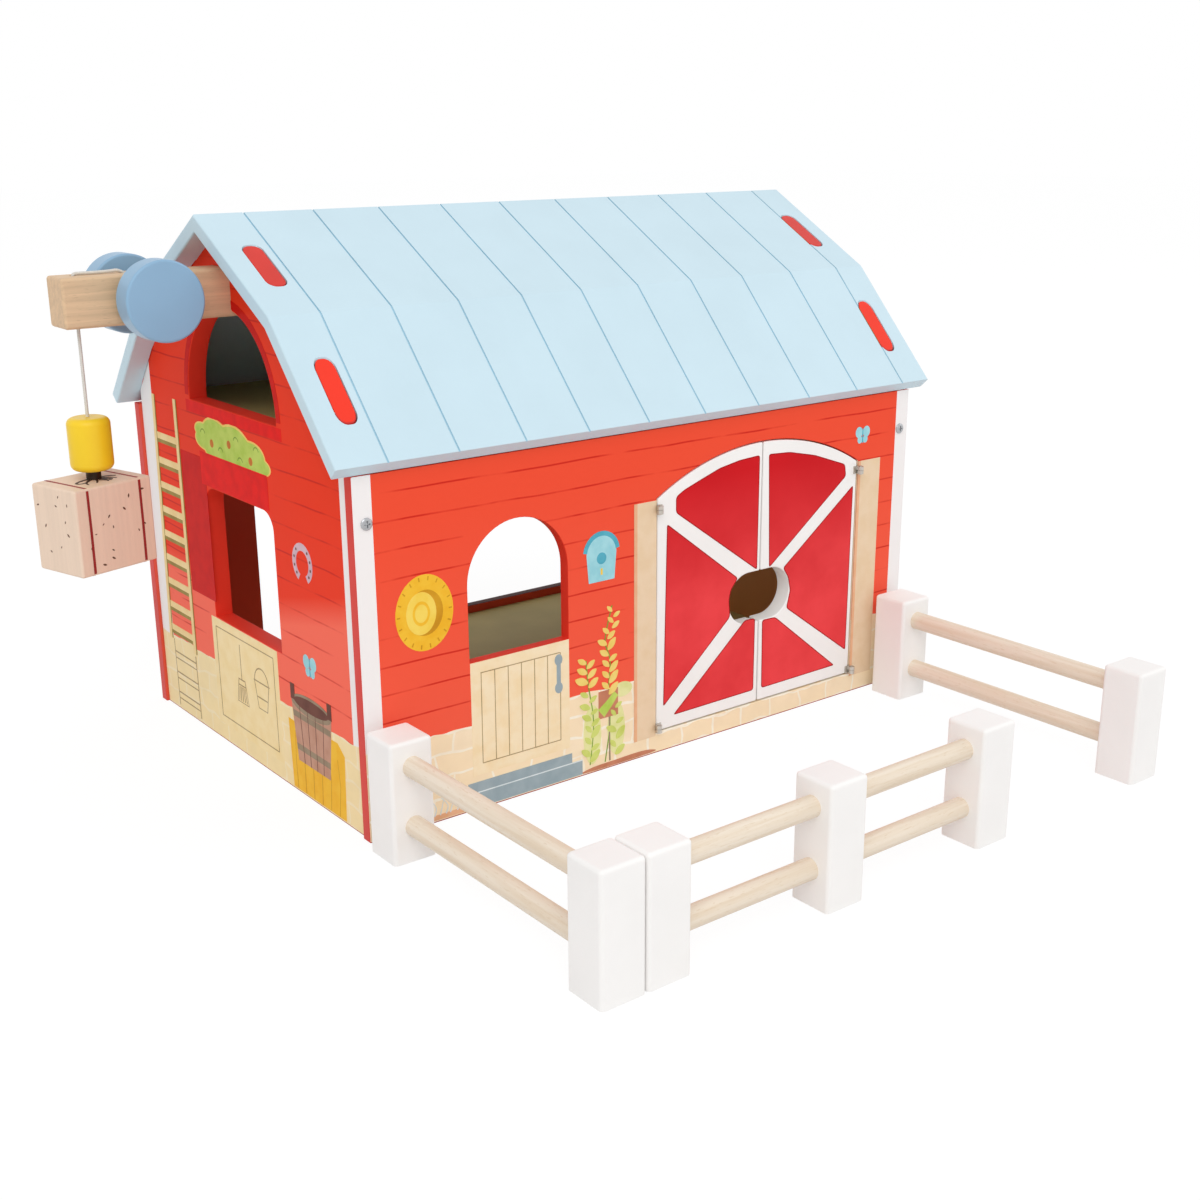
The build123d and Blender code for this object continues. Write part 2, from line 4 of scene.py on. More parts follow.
import bmesh
import bpy
from mathutils import Matrix, Vector
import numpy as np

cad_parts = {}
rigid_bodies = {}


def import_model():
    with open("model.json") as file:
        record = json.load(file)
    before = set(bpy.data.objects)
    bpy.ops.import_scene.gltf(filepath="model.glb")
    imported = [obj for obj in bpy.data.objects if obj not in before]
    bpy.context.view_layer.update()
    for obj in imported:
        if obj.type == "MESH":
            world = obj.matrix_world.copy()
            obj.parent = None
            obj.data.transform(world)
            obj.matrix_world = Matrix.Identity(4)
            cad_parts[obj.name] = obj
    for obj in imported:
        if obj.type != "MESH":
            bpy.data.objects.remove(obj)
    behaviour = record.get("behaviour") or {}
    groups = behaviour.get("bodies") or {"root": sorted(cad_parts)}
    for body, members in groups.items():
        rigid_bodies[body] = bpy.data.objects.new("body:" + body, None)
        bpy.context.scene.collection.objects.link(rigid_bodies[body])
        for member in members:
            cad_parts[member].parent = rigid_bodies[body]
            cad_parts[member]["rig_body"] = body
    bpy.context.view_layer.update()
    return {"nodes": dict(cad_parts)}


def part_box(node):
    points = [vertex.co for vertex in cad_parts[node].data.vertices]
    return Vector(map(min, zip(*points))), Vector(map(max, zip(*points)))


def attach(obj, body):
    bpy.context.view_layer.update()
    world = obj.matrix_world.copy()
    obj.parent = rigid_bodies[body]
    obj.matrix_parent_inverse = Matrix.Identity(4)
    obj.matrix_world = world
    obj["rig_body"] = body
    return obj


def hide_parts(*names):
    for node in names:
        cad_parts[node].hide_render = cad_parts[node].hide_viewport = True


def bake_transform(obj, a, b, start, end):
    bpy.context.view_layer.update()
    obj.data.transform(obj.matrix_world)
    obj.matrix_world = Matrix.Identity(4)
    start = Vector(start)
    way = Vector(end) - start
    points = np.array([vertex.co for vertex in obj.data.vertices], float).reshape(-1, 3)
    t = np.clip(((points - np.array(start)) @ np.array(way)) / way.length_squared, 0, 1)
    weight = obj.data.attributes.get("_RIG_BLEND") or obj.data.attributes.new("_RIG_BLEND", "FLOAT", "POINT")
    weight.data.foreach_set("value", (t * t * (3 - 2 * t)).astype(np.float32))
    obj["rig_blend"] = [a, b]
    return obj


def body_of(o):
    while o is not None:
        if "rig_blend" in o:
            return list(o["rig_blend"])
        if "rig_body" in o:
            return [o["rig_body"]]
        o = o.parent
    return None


bl_info = {
    "name": "Toy Barn",
    "version": (1, 0, 0),
    "blender": (4, 5, 0),
    "location": "3D View > Sidebar > Toy Barn",
    "description": "Wooden toy barn with a lift-off roof, a double door, a hay hoist and three fences",
    "category": "Add Mesh",
}

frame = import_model()

MM = 0.001

# Faces that carry print, as distances from the middle of the barn, in millimetres
FRONT_FACE = -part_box("front_wall_panel")[0].y / MM
GABLE_FACE = -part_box("left_gable_panel")[0].x / MM
# Top of the printed stones, and the edges of the white corner strips on the long walls and on the gables
STONE_TOP = 54.7
FRONT_STRIPS = (-208.2, 208.0)
GABLE_STRIPS = (-131.6, 122.0)
# Height of one printed plank joint, and the way to the next
PLANK_LINE = 86.8
PLANK_PITCH = 16.53
# Print is a film of ink: thin enough not to show as a step, thick enough to lie clear of the face under it.
# Each shape lies a step above the one before it, and its sides go down into the face.
INK = 0.1
INK_STEP = 0.008
INK_SINK = 0.1
# Edges that bend by more than this stay sharp, unless they are rounded over
SHARP = radians(40)


def linear(code):
    """Linear RGBA of an sRGB hex colour."""
    channels = [int(code[k:k + 2], 16) / 255 for k in (1, 3, 5)]
    return (*[c / 12.92 if c <= 0.04045 else ((c + 0.055) / 1.055) ** 2.4 for c in channels], 1.0)


def tint(name, description, code):
    """A colour that the user can change."""
    return bpy.props.FloatVectorProperty(
        name=name, description=description, subtype="COLOR", min=0.0, max=1.0, default=linear(code)[:3]
    )


def size(name, description, millimetres):
    """A length that the user can change."""
    return bpy.props.FloatProperty(
        name=name, description=description, subtype="DISTANCE", unit="LENGTH", min=0.0,
        default=millimetres * MM,
    )


def count_of(name, description, least, usual):
    """A number of copies that the user can change."""
    return bpy.props.IntProperty(name=name, description=description, min=least, default=usual)


def setting(name, description, unit, least, usual):
    """A setting of the camera or the light that the user can change."""
    return bpy.props.FloatProperty(name=name, description=description, unit=unit, min=least, default=usual)


class BarnColours(bpy.types.PropertyGroup):
    wall: tint("Wall red", "Planks of the long walls", "#f55237")
    # Painted shade: the gables get a deeper red than the long walls, as they take less light
    gable: tint("Gable red", "Planks of the gables", "#f13a1b")
    # Painted reflection: planks low down are drawn paler, as the pale floor is reflected in them
    wall_low: tint("Low wall red", "Planks low down, where the print fades", "#ff735d")
    wall_line: tint("Plank line", "Joints drawn between the planks", "#cb1c15")
    inside: tint("Inner red", "Inner faces of the walls", "#ea5640")
    # Painted light: the inner red is lighter than the plain red of the edges, standing in for light that
    # reaches inside the barn
    inside_brown: tint("Inner brown", "Inner face of the right gable", "#b97a3c")
    wall_plain: tint("Plain red", "Edges of the walls", "#dc3024")
    # Painted light: the sawn faces in the openings are lighter than the plain edges, as if lit
    reveal: tint("Reveal red", "Sawn faces inside the openings of the walls", "#f8402e")
    corner: tint("Corner white", "Strips down the corners of the walls", "#f8f4f3")
    stone: tint("Stone", "Stones of the printed base", "#fde6c2")
    cream: tint("Cream", "Stones of the gables", "#fbe5b2")
    stone_light: tint("Light stone", "Joints between the stones", "#fff6e4")
    roof: tint("Roof blue", "The four roof boards", "#cbe3ee")
    door: tint("Door red", "Fields of the door leaves, at the top", "#d2161f")
    door_low: tint("Low door red", "Fields of the door leaves, at the bottom", "#f2464a")
    white: tint("White", "Frames of the door leaves, and the fence posts", "#fbf9f7")
    disc: tint("Disc blue", "The two hoist discs", "#90b6d4")
    bead: tint("Bead yellow", "The bead on the hoist cord", "#fcd428")
    floor: tint("Floor green", "The barn floor and the loft floor", "#bcae70")
    beech: tint("Beech", "Bare wood of the beam, the axle, the battens and the cleats", "#e6c39c")
    bale: tint("Bale", "Bare wood of the hay bale", "#f0d6bf")


class BarnSizes(bpy.types.PropertyGroup):
    panel_edge: size("Panel edge", "Rounding of the sawn plywood edges under their paint", 0.5)
    leaf_edge: size("Leaf edge", "Rounding along the edges of the door leaves", 0.9)
    board_edge: size("Board edge", "Rounding of floor boards, battens and cleats", 0.6)
    cord_width: size("Cord width", "Diameter of the hoist cord", 2.0)
    strand_length: size("Strand length", "Length of cord in which a strand goes round once", 7.0)
    rung_spacing: size("Rung spacing", "Distance between the rungs of the printed ladder", 16.9)
    rung_count: count_of("Rungs", "Rungs of the printed ladder", 1, 9)
    vine_leaves: count_of("Vine leaves", "Leaves on the tall vine", 2, 16)


class BarnStage(bpy.types.PropertyGroup):
    lens: setting("Lens", "Focal length of the camera", "CAMERA", 1.0, 46.12)
    daylight: setting("Daylight", "Strength of the even light", "NONE", 0.0, 0.74)
    key: setting("Key", "Power of the main lamp", "POWER", 0.0, 34.0)
    fill: setting("Fill", "Power of the side lamp", "POWER", 0.0, 9.0)


# Nodes and finishes

def add(tree, kind, inputs=None, **settings):
    """Add a node with its settings, and feed its inputs values, sockets or the first outputs of nodes.

    A Mix node of colours has its share at input 0, its colours at 6 and 7 and its result at output 2. A Map
    Range node has its range at inputs 1 and 2, and what that becomes at 3 and 4.
    """
    made = tree.nodes.new(kind)
    for name, value in settings.items():
        setattr(made, name, value)
    for key, value in (inputs or {}).items():
        if isinstance(value, bpy.types.Node):
            value = next(socket for socket in value.outputs if socket.enabled)
        if isinstance(value, bpy.types.NodeSocket):
            tree.links.new(value, made.inputs[key])
        else:
            made.inputs[key].default_value = value
    return made


def new_finish(name, roughness, **shader_values):
    """A material, its tree, its shader with the constant values, and the coordinates for its patterns."""
    material = bpy.data.materials.new(name)
    material.use_nodes = True
    tree = material.node_tree
    tree.nodes.clear()
    shader = add(tree, "ShaderNodeBsdfPrincipled", {"Roughness": roughness, **shader_values})
    add(tree, "ShaderNodeOutputMaterial", {"Surface": shader.outputs["BSDF"]})
    place = add(tree, "ShaderNodeTexCoord").outputs["Object"]
    return material, tree, shader, place


def close_finish(tree, shader, colour, relief=None, strength=0.1, depth=0.1):
    """Give a shader its colour and, where it has one, a fine relief whose depth is in millimetres."""
    tree.links.new(colour.outputs[2], shader.inputs["Base Color"])
    if relief is not None:
        bump = add(tree, "ShaderNodeBump", {"Height": relief, "Strength": strength, "Distance": depth * MM})
        tree.links.new(bump.outputs[0], shader.inputs["Normal"])


def enamel(name, main, dim, roughness=0.42, main_low=None, heights=None, gloss=0.32):
    """Satin enamel, sprayed over sanded wood: a wide soft sheen, faint clouding and a fine orange peel."""
    material, tree, shader, place = new_finish(name, roughness, **{"Specular IOR Level": gloss})
    shade = darker(main, dim)
    # The colour may rise from a lower one between two heights
    if main_low is not None:
        height = add(tree, "ShaderNodeSeparateXYZ", {0: place}).outputs["Z"]
        rise = add(tree, "ShaderNodeMapRange", {0: height, 1: heights[0] * MM, 2: heights[1] * MM})
        main = add(tree, "ShaderNodeMix", {0: rise, 6: main_low, 7: main}, data_type="RGBA").outputs[2]
    # Clouding is about 40 mm across and dims the colour to the share given, orange peel is about 1.5 mm
    cloud = add(tree, "ShaderNodeTexNoise", {"Vector": place, "Scale": 1 / (40 * MM), "Detail": 4.0})
    amount = add(tree, "ShaderNodeMapRange", {0: cloud, 1: 0.35, 2: 0.75, 3: 0.0, 4: 0.5})
    colour = add(tree, "ShaderNodeMix", {0: amount, 6: main, 7: shade}, data_type="RGBA")
    peel = add(tree, "ShaderNodeTexNoise", {"Vector": place, "Scale": 1 / (1.5 * MM), "Detail": 2.0})
    close_finish(tree, shader, colour, peel, strength=0.12)
    return material


def plank_joints(tree, place, height):
    """Where the joints between the planks are drawn, from 0 to 1."""
    # Joints wander within 3 mm, mostly by half a millimetre, and fade here and there, as with a dry brush
    reach = 3.0
    wander = add(tree, "ShaderNodeTexNoise", {"Vector": place, "Scale": 1 / (70 * MM), "Detail": 2.0})
    shift = add(tree, "ShaderNodeMath", {0: wander, 1: reach * MM}, operation="MULTIPLY")
    drawn = add(tree, "ShaderNodeMath", {0: height, 1: shift}, operation="ADD")
    start = PLANK_LINE - 6 * PLANK_PITCH + reach / 2
    rows = add(tree, "ShaderNodeMapRange", {
        0: drawn, 1: start * MM, 2: (start + PLANK_PITCH) * MM}, clamp=False)
    saw = add(tree, "ShaderNodeMath", {0: rows, 1: 0.5}, operation="ADD")
    part = add(tree, "ShaderNodeMath", {0: saw}, operation="FRACT")
    middle = add(tree, "ShaderNodeMath", {0: part, 1: 0.5}, operation="SUBTRACT")
    distance = add(tree, "ShaderNodeMath", {0: middle}, operation="ABSOLUTE")
    line = add(tree, "ShaderNodeMapRange", {0: distance, 1: 0.012, 2: 0.045, 3: 1.0, 4: 0.0})
    dry = add(tree, "ShaderNodeTexNoise", {"Vector": place, "Scale": 1 / (38 * MM), "Detail": 3.0})
    wet = add(tree, "ShaderNodeMapRange", {0: dry, 1: 0.36, 2: 0.56, 3: 0.0, 4: 0.85})
    return add(tree, "ShaderNodeMath", {0: line, 1: wet}, operation="MULTIPLY")


def laid_stones(tree, place, along, height, stone, joint):
    """Printed stones in four courses, and where they cover the planks."""
    # Stones are 27 mm long in courses 13.7 mm high, pushed out of line by up to 3 mm as if laid by hand
    flat = add(tree, "ShaderNodeCombineXYZ", {0: along, 1: height})
    push = add(tree, "ShaderNodeTexNoise", {"Vector": flat, "Scale": 1 / (19 * MM), "Detail": 1.0})
    centred = add(tree, "ShaderNodeVectorMath", {
        0: push.outputs["Color"], 1: (0.5, 0.5, 0.5)}, operation="SUBTRACT")
    scaled = add(tree, "ShaderNodeVectorMath", {0: centred, "Scale": 9 * MM}, operation="SCALE")
    laid = add(tree, "ShaderNodeVectorMath", {0: flat, 1: scaled}, operation="ADD")
    brick = add(tree, "ShaderNodeTexBrick", {
        "Vector": laid, "Color1": stone, "Color2": between(stone, joint, 0.4), "Mortar": joint,
        "Scale": 1.0, "Mortar Size": 0.9 * MM, "Mortar Smooth": 0.25, "Bias": -0.35,
        "Brick Width": 27 * MM, "Row Height": STONE_TOP / 4 * MM,
    })
    soft = add(tree, "ShaderNodeTexNoise", {"Vector": place, "Scale": 1 / (12 * MM), "Detail": 3.0})
    worn = add(tree, "ShaderNodeMapRange", {0: soft, 1: 0.42, 2: 0.7, 3: 0.0, 4: 0.4})
    stones = add(tree, "ShaderNodeMix", {
        0: worn, 6: brick.outputs["Color"], 7: darker(stone, 0.9)}, data_type="RGBA")
    ragged = add(tree, "ShaderNodeMath", {0: height, 1: scaled.outputs[0]}, operation="ADD")
    cover = add(tree, "ShaderNodeMath", {0: ragged, 1: STONE_TOP * MM}, operation="LESS_THAN")
    return stones, cover


def printed_wall(name, across, strips, colours, floor_glare, floor_glare_heights, lean=0.0):
    """Screen print under clear lacquer on plywood: crisp flat colours, hand-drawn plank joints and stones,
    with a painted reflection of the floor low down and a painted contact shadow along the foot.
    """
    material, tree, shader, place = new_finish(name, 0.45, **{"Specular IOR Level": 0.06})
    axes = add(tree, "ShaderNodeSeparateXYZ", {0: place})
    along = axes.outputs[across]
    height = axes.outputs["Z"]
    joint = plank_joints(tree, place, height)
    # Painted reflection of the pale floor: the planks grow paler towards the ground, and on the gables more
    # so beside the hatch than under it
    side = add(tree, "ShaderNodeMath", {0: along, 1: -40 * MM}, operation="MINIMUM")
    level = add(tree, "ShaderNodeMath", {0: side, 1: lean, 2: height}, operation="MULTIPLY_ADD")
    heights = {1: floor_glare_heights[0] * MM, 2: floor_glare_heights[1] * MM, 3: floor_glare, 4: 0.0}
    low = add(tree, "ShaderNodeMapRange", {0: level, **heights})
    plank = add(tree, "ShaderNodeMix", {0: low, 6: colours["wall"], 7: colours["wall_low"]}, data_type="RGBA")
    planks = add(tree, "ShaderNodeMix", {
        0: joint, 6: plank.outputs[2], 7: colours["wall_line"]}, data_type="RGBA")
    stones, cover = laid_stones(tree, place, along, height, colours["stone"], colours["stone_light"])
    boards = add(tree, "ShaderNodeMix", {
        0: cover, 6: planks.outputs[2], 7: stones.outputs[2]}, data_type="RGBA")

    left = add(tree, "ShaderNodeMath", {0: along, 1: strips[0] * MM}, operation="LESS_THAN")
    right = add(tree, "ShaderNodeMath", {0: along, 1: strips[1] * MM}, operation="GREATER_THAN")
    ends = add(tree, "ShaderNodeMath", {0: left, 1: right}, operation="MAXIMUM")
    above = add(tree, "ShaderNodeMath", {0: 1.0, 1: cover}, operation="SUBTRACT")
    corner = add(tree, "ShaderNodeMath", {0: ends, 1: above}, operation="MULTIPLY")
    whole = add(tree, "ShaderNodeMix", {
        0: corner, 6: boards.outputs[2], 7: colours["corner"]}, data_type="RGBA")
    # Painted contact shadow: a dark line 0.8 mm high along the foot, where the wall stands on the floor
    foot = add(tree, "ShaderNodeMath", {0: height, 1: 0.8 * MM}, operation="LESS_THAN")
    foot_contact_shadow = darker(colours["wall_plain"], 0.55)
    colour = add(tree, "ShaderNodeMix", {0: foot, 6: whole.outputs[2], 7: foot_contact_shadow}, data_type="RGBA")
    grain = add(tree, "ShaderNodeMapping", {"Vector": place, "Scale": (1.0, 1.0, 12.0)})
    veneer = add(tree, "ShaderNodeTexNoise", {"Vector": grain, "Scale": 1 / (14 * MM), "Detail": 4.0})
    close_finish(tree, shader, colour, veneer, depth=0.12)
    return material


def beech(name, axis, light, dark):
    """Beech, planed, sanded and left bare: a matt pale face with long soft grain and short dark pores."""
    material, tree, shader, place = new_finish(name, 0.52)
    # Along the axis given, grain is about 90 mm long and 3 mm wide, pores 5 mm and 0.7 mm so that they show
    grain_scale = [1.0 / (90 * MM) if k == axis else 1.0 / (3 * MM) for k in range(3)]
    pore_scale = [1.0 / (5 * MM) if k == axis else 1.0 / (0.7 * MM) for k in range(3)]
    long_grain = add(tree, "ShaderNodeMapping", {"Vector": place, "Scale": grain_scale})
    grain = add(tree, "ShaderNodeTexNoise", {
        "Vector": long_grain, "Scale": 1.0, "Detail": 4.0, "Distortion": 0.4,
    })
    broad = add(tree, "ShaderNodeMapRange", {0: grain, 1: 0.36, 2: 0.7, 3: 0.0, 4: 0.6})
    face = add(tree, "ShaderNodeMix", {0: broad, 6: light, 7: dark}, data_type="RGBA")
    short_grain = add(tree, "ShaderNodeMapping", {"Vector": place, "Scale": pore_scale})
    pores = add(tree, "ShaderNodeTexNoise", {"Vector": short_grain, "Scale": 1.0, "Detail": 1.0})
    flecks = add(tree, "ShaderNodeMapRange", {0: pores, 1: 0.62, 2: 0.74, 3: 0.0, 4: 0.55})
    colour = add(tree, "ShaderNodeMix", {0: flecks, 6: face.outputs[2], 7: dark}, data_type="RGBA")
    close_finish(tree, shader, colour, pores, strength=0.15)
    return material


def ink(name, main, shade):
    """Screen-printed ink under clear lacquer: flat colour with the slight patchiness of a hand-mixed tone."""
    material, tree, shader, place = new_finish(name, 0.45, **{"Specular IOR Level": 0.06})
    # Patches are about 9 mm across
    tone = add(tree, "ShaderNodeTexNoise", {"Vector": place, "Scale": 1 / (9 * MM), "Detail": 3.0})
    amount = add(tree, "ShaderNodeMapRange", {0: tone, 1: 0.38, 2: 0.66})
    colour = add(tree, "ShaderNodeMix", {0: amount, 6: linear(main), 7: linear(shade)}, data_type="RGBA")
    close_finish(tree, shader, colour)
    return material


def plated_steel(name, main, shade, roughness):
    """Plated steel, rolled or turned: a metal glint broken by fine brushing and duller patches."""
    material, tree, shader, place = new_finish(name, roughness, Metallic=0.9)
    # Patches are about 2.5 mm across, brushing 0.4 mm
    dull = add(tree, "ShaderNodeTexNoise", {"Vector": place, "Scale": 1 / (2.5 * MM), "Detail": 4.0})
    colour = add(tree, "ShaderNodeMix", {0: dull, 6: linear(main), 7: linear(shade)}, data_type="RGBA")
    wear = add(tree, "ShaderNodeMapRange", {
        0: dull, 1: 0.3, 2: 0.7, 3: roughness - 0.08, 4: roughness + 0.12})
    tree.links.new(wear.outputs[0], shader.inputs["Roughness"])
    brushed = add(tree, "ShaderNodeTexNoise", {"Vector": place, "Scale": 1 / (0.4 * MM), "Detail": 2.0})
    close_finish(tree, shader, colour, brushed, strength=0.15, depth=0.05)
    return material


def twisted_cotton(name):
    """Cotton cord, three-strand twisted: a dull warm white, greyer in the valleys of its fuzzy strands."""
    material, tree, shader, place = new_finish(name, 0.85, **{"Sheen Weight": 0.4})
    # Yarns 0.5 mm thick, with fuzz drawn at 0.3 mm
    yarn = add(tree, "ShaderNodeTexNoise", {"Vector": place, "Scale": 1 / (0.5 * MM), "Detail": 4.0})
    colour = add(tree, "ShaderNodeMix", {
        0: yarn, 6: linear("#f4f1ea"), 7: linear("#cfcac0")}, data_type="RGBA")
    fuzz = add(tree, "ShaderNodeTexNoise", {"Vector": place, "Scale": 1 / (0.3 * MM), "Detail": 3.0})
    close_finish(tree, shader, colour, fuzz, strength=0.4, depth=0.15)
    return material


def inside_limits(value, limits):
    """Whether a length in metres lies between two limits in millimetres."""
    return limits[0] * MM < value < limits[1] * MM


def colours_now():
    """The user's colours as RGBA by name."""
    chosen = bpy.context.scene.barn_colours
    return {name: (*getattr(chosen, name), 1.0) for name in BarnColours.__annotations__}


def darker(colour, share):
    """A colour dimmed to a share of its light."""
    return (*[channel * share for channel in colour[:3]], 1.0)


def between(colour, other, share):
    """A colour on the way from one to another."""
    return (*[a + (b - a) * share for a, b in zip(colour[:3], other[:3])], 1.0)


# Meshes and pieces

def in_scene(name, data):
    """A new object that shows a mesh, a curve, a lamp or a camera."""
    piece = bpy.data.objects.new(name, data)
    bpy.context.collection.objects.link(piece)
    return piece


def from_shape(name, shape, materials=()):
    """A new object with the mesh of a bmesh, which isn't used again."""
    mesh = bpy.data.meshes.new(name)
    for material in materials:
        mesh.materials.append(material)
    shape.to_mesh(mesh)
    shape.free()
    return in_scene(name, mesh)


def evaluated(piece):
    """The plain mesh of an object with its modifiers."""
    depsgraph = bpy.context.evaluated_depsgraph_get()
    return bpy.data.meshes.new_from_object(piece.evaluated_get(depsgraph), depsgraph=depsgraph)


def shade(piece):
    """Shade a piece smooth except over sharp edges, with flat faces kept flat up to their rounded rims."""
    piece.data.shade_smooth()
    piece.data.set_sharp_from_angle(angle=SHARP)
    weigh = piece.modifiers.new("Weigh", "WEIGHTED_NORMAL")
    weigh.keep_sharp = True
    weigh.weight = 100
    mesh = evaluated(piece)
    piece.modifiers.remove(weigh)
    mesh.name = piece.name
    piece.data = mesh


def finished(node_name, materials, edge=0.0, slot_of=None):
    """A merged, smoothly shaded copy of a CAD node that stands for it, with its sawn edges rounded over.

    slot_of picks a face's material from its normal and its centre.
    """
    source = frame["nodes"][node_name]
    shape = bmesh.new()
    shape.from_mesh(source.data)
    bmesh.ops.remove_doubles(shape, verts=shape.verts, dist=1e-6)
    bmesh.ops.dissolve_limit(shape, angle_limit=radians(0.5), verts=shape.verts, edges=shape.edges)
    if edge:
        sawn = [side for side in shape.edges if len(side.link_faces) == 2 and side.calc_face_angle() > SHARP]
        bmesh.ops.bevel(shape, geom=sawn, offset=edge, segments=2, profile=0.5, affect="EDGES")
    if slot_of:
        for face in shape.faces:
            face.material_index = slot_of(face.normal, face.calc_center_median())
    piece = from_shape(node_name + "_finish", shape, materials)
    shade(piece)
    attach(piece, body_of(source)[0])
    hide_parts(node_name)
    return piece


# Places on the faces that carry print

def on_front(u, v, h):
    """Point on the front, u along +X, v up and h out of the face, all in millimetres."""
    return Vector((u, -FRONT_FACE - h, v)) * MM


def on_rear(u, v, h):
    """Point on the rear, u along -X as it is seen from behind."""
    return Vector((-u, FRONT_FACE + h, v)) * MM


def on_left_gable(u, v, h):
    """Point on the left gable, u along +Y."""
    return Vector((-GABLE_FACE - h, u, v)) * MM


def on_right_gable(u, v, h):
    """Point on the right gable, u along +Y."""
    return Vector((GABLE_FACE + h, u, v)) * MM


# Outlines and lines, as points (u, v) in millimetres

def oval(u, v, half_width, half_height=None, count=36):
    """Outline of an oval."""
    half_height = half_height or half_width
    angles = [2 * pi * k / count for k in range(count)]
    return [(u + half_width * cos(angle), v + half_height * sin(angle)) for angle in angles]


def turned(u, v, radius, angle):
    """A point at an angle in degrees round another."""
    return u + radius * cos(radians(angle)), v + radius * sin(radians(angle))


def softened(points, reach=2.2):
    """An outline whose corners are rounded off, each over a short way along both of its sides."""
    soft = []
    for k, (u, v) in enumerate(points):
        ends = []
        for other_u, other_v in (points[k - 1], points[(k + 1) % len(points)]):
            side = hypot(other_u - u, other_v - v)
            share = min(reach, side / 3) / side
            ends.append((u + (other_u - u) * share, v + (other_v - v) * share))
        (u0, v0), (u1, v1) = ends
        for t in (0.0, 0.25, 0.5, 0.75, 1.0):
            a, b, c = (1 - t) ** 2, 2 * t * (1 - t), t * t
            soft.append((a * u0 + b * u + c * u1, a * v0 + b * v + c * v1))
    return soft


def drawn_in(points, width):
    """An outline moved inwards by a width all round."""
    twice = sum(u0 * v1 - u1 * v0 for (u0, v0), (u1, v1) in zip(points, points[1:] + points[:1]))
    width = width if twice > 0 else -width
    moved = []
    for k, (u, v) in enumerate(points):
        sides = []
        for (u0, v0), (u1, v1) in ((points[k - 1], (u, v)), ((u, v), points[(k + 1) % len(points)])):
            side = hypot(u1 - u0, v1 - v0)
            sides.append((-(v1 - v0) / side, (u1 - u0) / side))
        (a0, b0), (a1, b1) = sides
        share = width / (1 + a0 * a1 + b0 * b1)
        moved.append((u + (a0 + a1) * share, v + (b0 + b1) * share))
    return moved


def bar(u0, v0, u1, v1):
    """Outline of an upright rectangle."""
    return [(u0, v0), (u1, v0), (u1, v1), (u0, v1)]


def stroke(points, width, end_width=None):
    """Outline of a brush stroke along points, which may narrow towards its end."""
    end_width = width if end_width is None else end_width
    left = []
    right = []
    for k, (u, v) in enumerate(points):
        u0, v0 = points[max(k - 1, 0)]
        u1, v1 = points[min(k + 1, len(points) - 1)]
        run = hypot(u1 - u0, v1 - v0)
        half = (width + (end_width - width) * k / (len(points) - 1)) / 2
        side_u = -(v1 - v0) / run * half
        side_v = (u1 - u0) / run * half
        left.append((u + side_u, v + side_v))
        right.append((u - side_u, v - side_v))
    return left + right[::-1]


def flowing(points, steps, closed=True):
    """Points along a smooth line through the given ones."""
    count = len(points)
    line = []
    for k in range(count if closed else count - 1):
        numbers = [(k + j) % count if closed else min(max(k + j, 0), count - 1) for j in (-1, 0, 1, 2)]
        near = [points[number] for number in numbers]
        for step in range(steps):
            t = step / steps
            weights = (
                (-t + 2 * t * t - t ** 3) / 2,
                (2 - 5 * t * t + 3 * t ** 3) / 2,
                (t + 4 * t * t - 3 * t ** 3) / 2,
                (t ** 3 - t * t) / 2,
            )
            line.append(tuple(sum(w * p[axis] for w, p in zip(weights, near)) for axis in (0, 1)))
    if not closed:
        line.append(points[-1])
    return line


def arc(u, v, radius, start, end, count):
    """Points along an arc, its angles in degrees."""
    return [turned(u, v, radius, start + (end - start) * k / count) for k in range(count + 1)]


# Print

def plate(shape, outline, place, height, material_index=0):
    """Add a thin closed plate with this outline to a bmesh."""
    under = [shape.verts.new(place(u, v, -INK_SINK)) for u, v in outline]
    over = [shape.verts.new(place(u, v, height)) for u, v in outline]
    faces = [shape.faces.new(over), shape.faces.new(under[::-1])]
    for k in range(len(outline)):
        j = (k + 1) % len(outline)
        faces.append(shape.faces.new((under[k], under[j], over[j], over[k])))
    for face in faces:
        face.material_index = material_index


def ink_named(name):
    """The material of one of the print's inks, made the first time it is asked for."""
    full_name = "screen_ink_" + name
    return bpy.data.materials.get(full_name) or ink(full_name, *INK_TONES[name])


def print_piece(name, place, layers, body="barn", lift=0.0):
    """Printed shapes on one face, in layers that each give an ink's name or a material, and outlines."""
    shape = bmesh.new()
    height = INK + lift
    for index, (paint, outlines) in enumerate(layers):
        for outline in outlines:
            plate(shape, outline, place, height, index)
            height += INK_STEP
    bmesh.ops.recalc_face_normals(shape, faces=shape.faces)
    materials = [ink_named(paint) if isinstance(paint, str) else paint for paint, outlines in layers]
    piece = from_shape(name, shape, materials)
    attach(piece, body)
    return piece
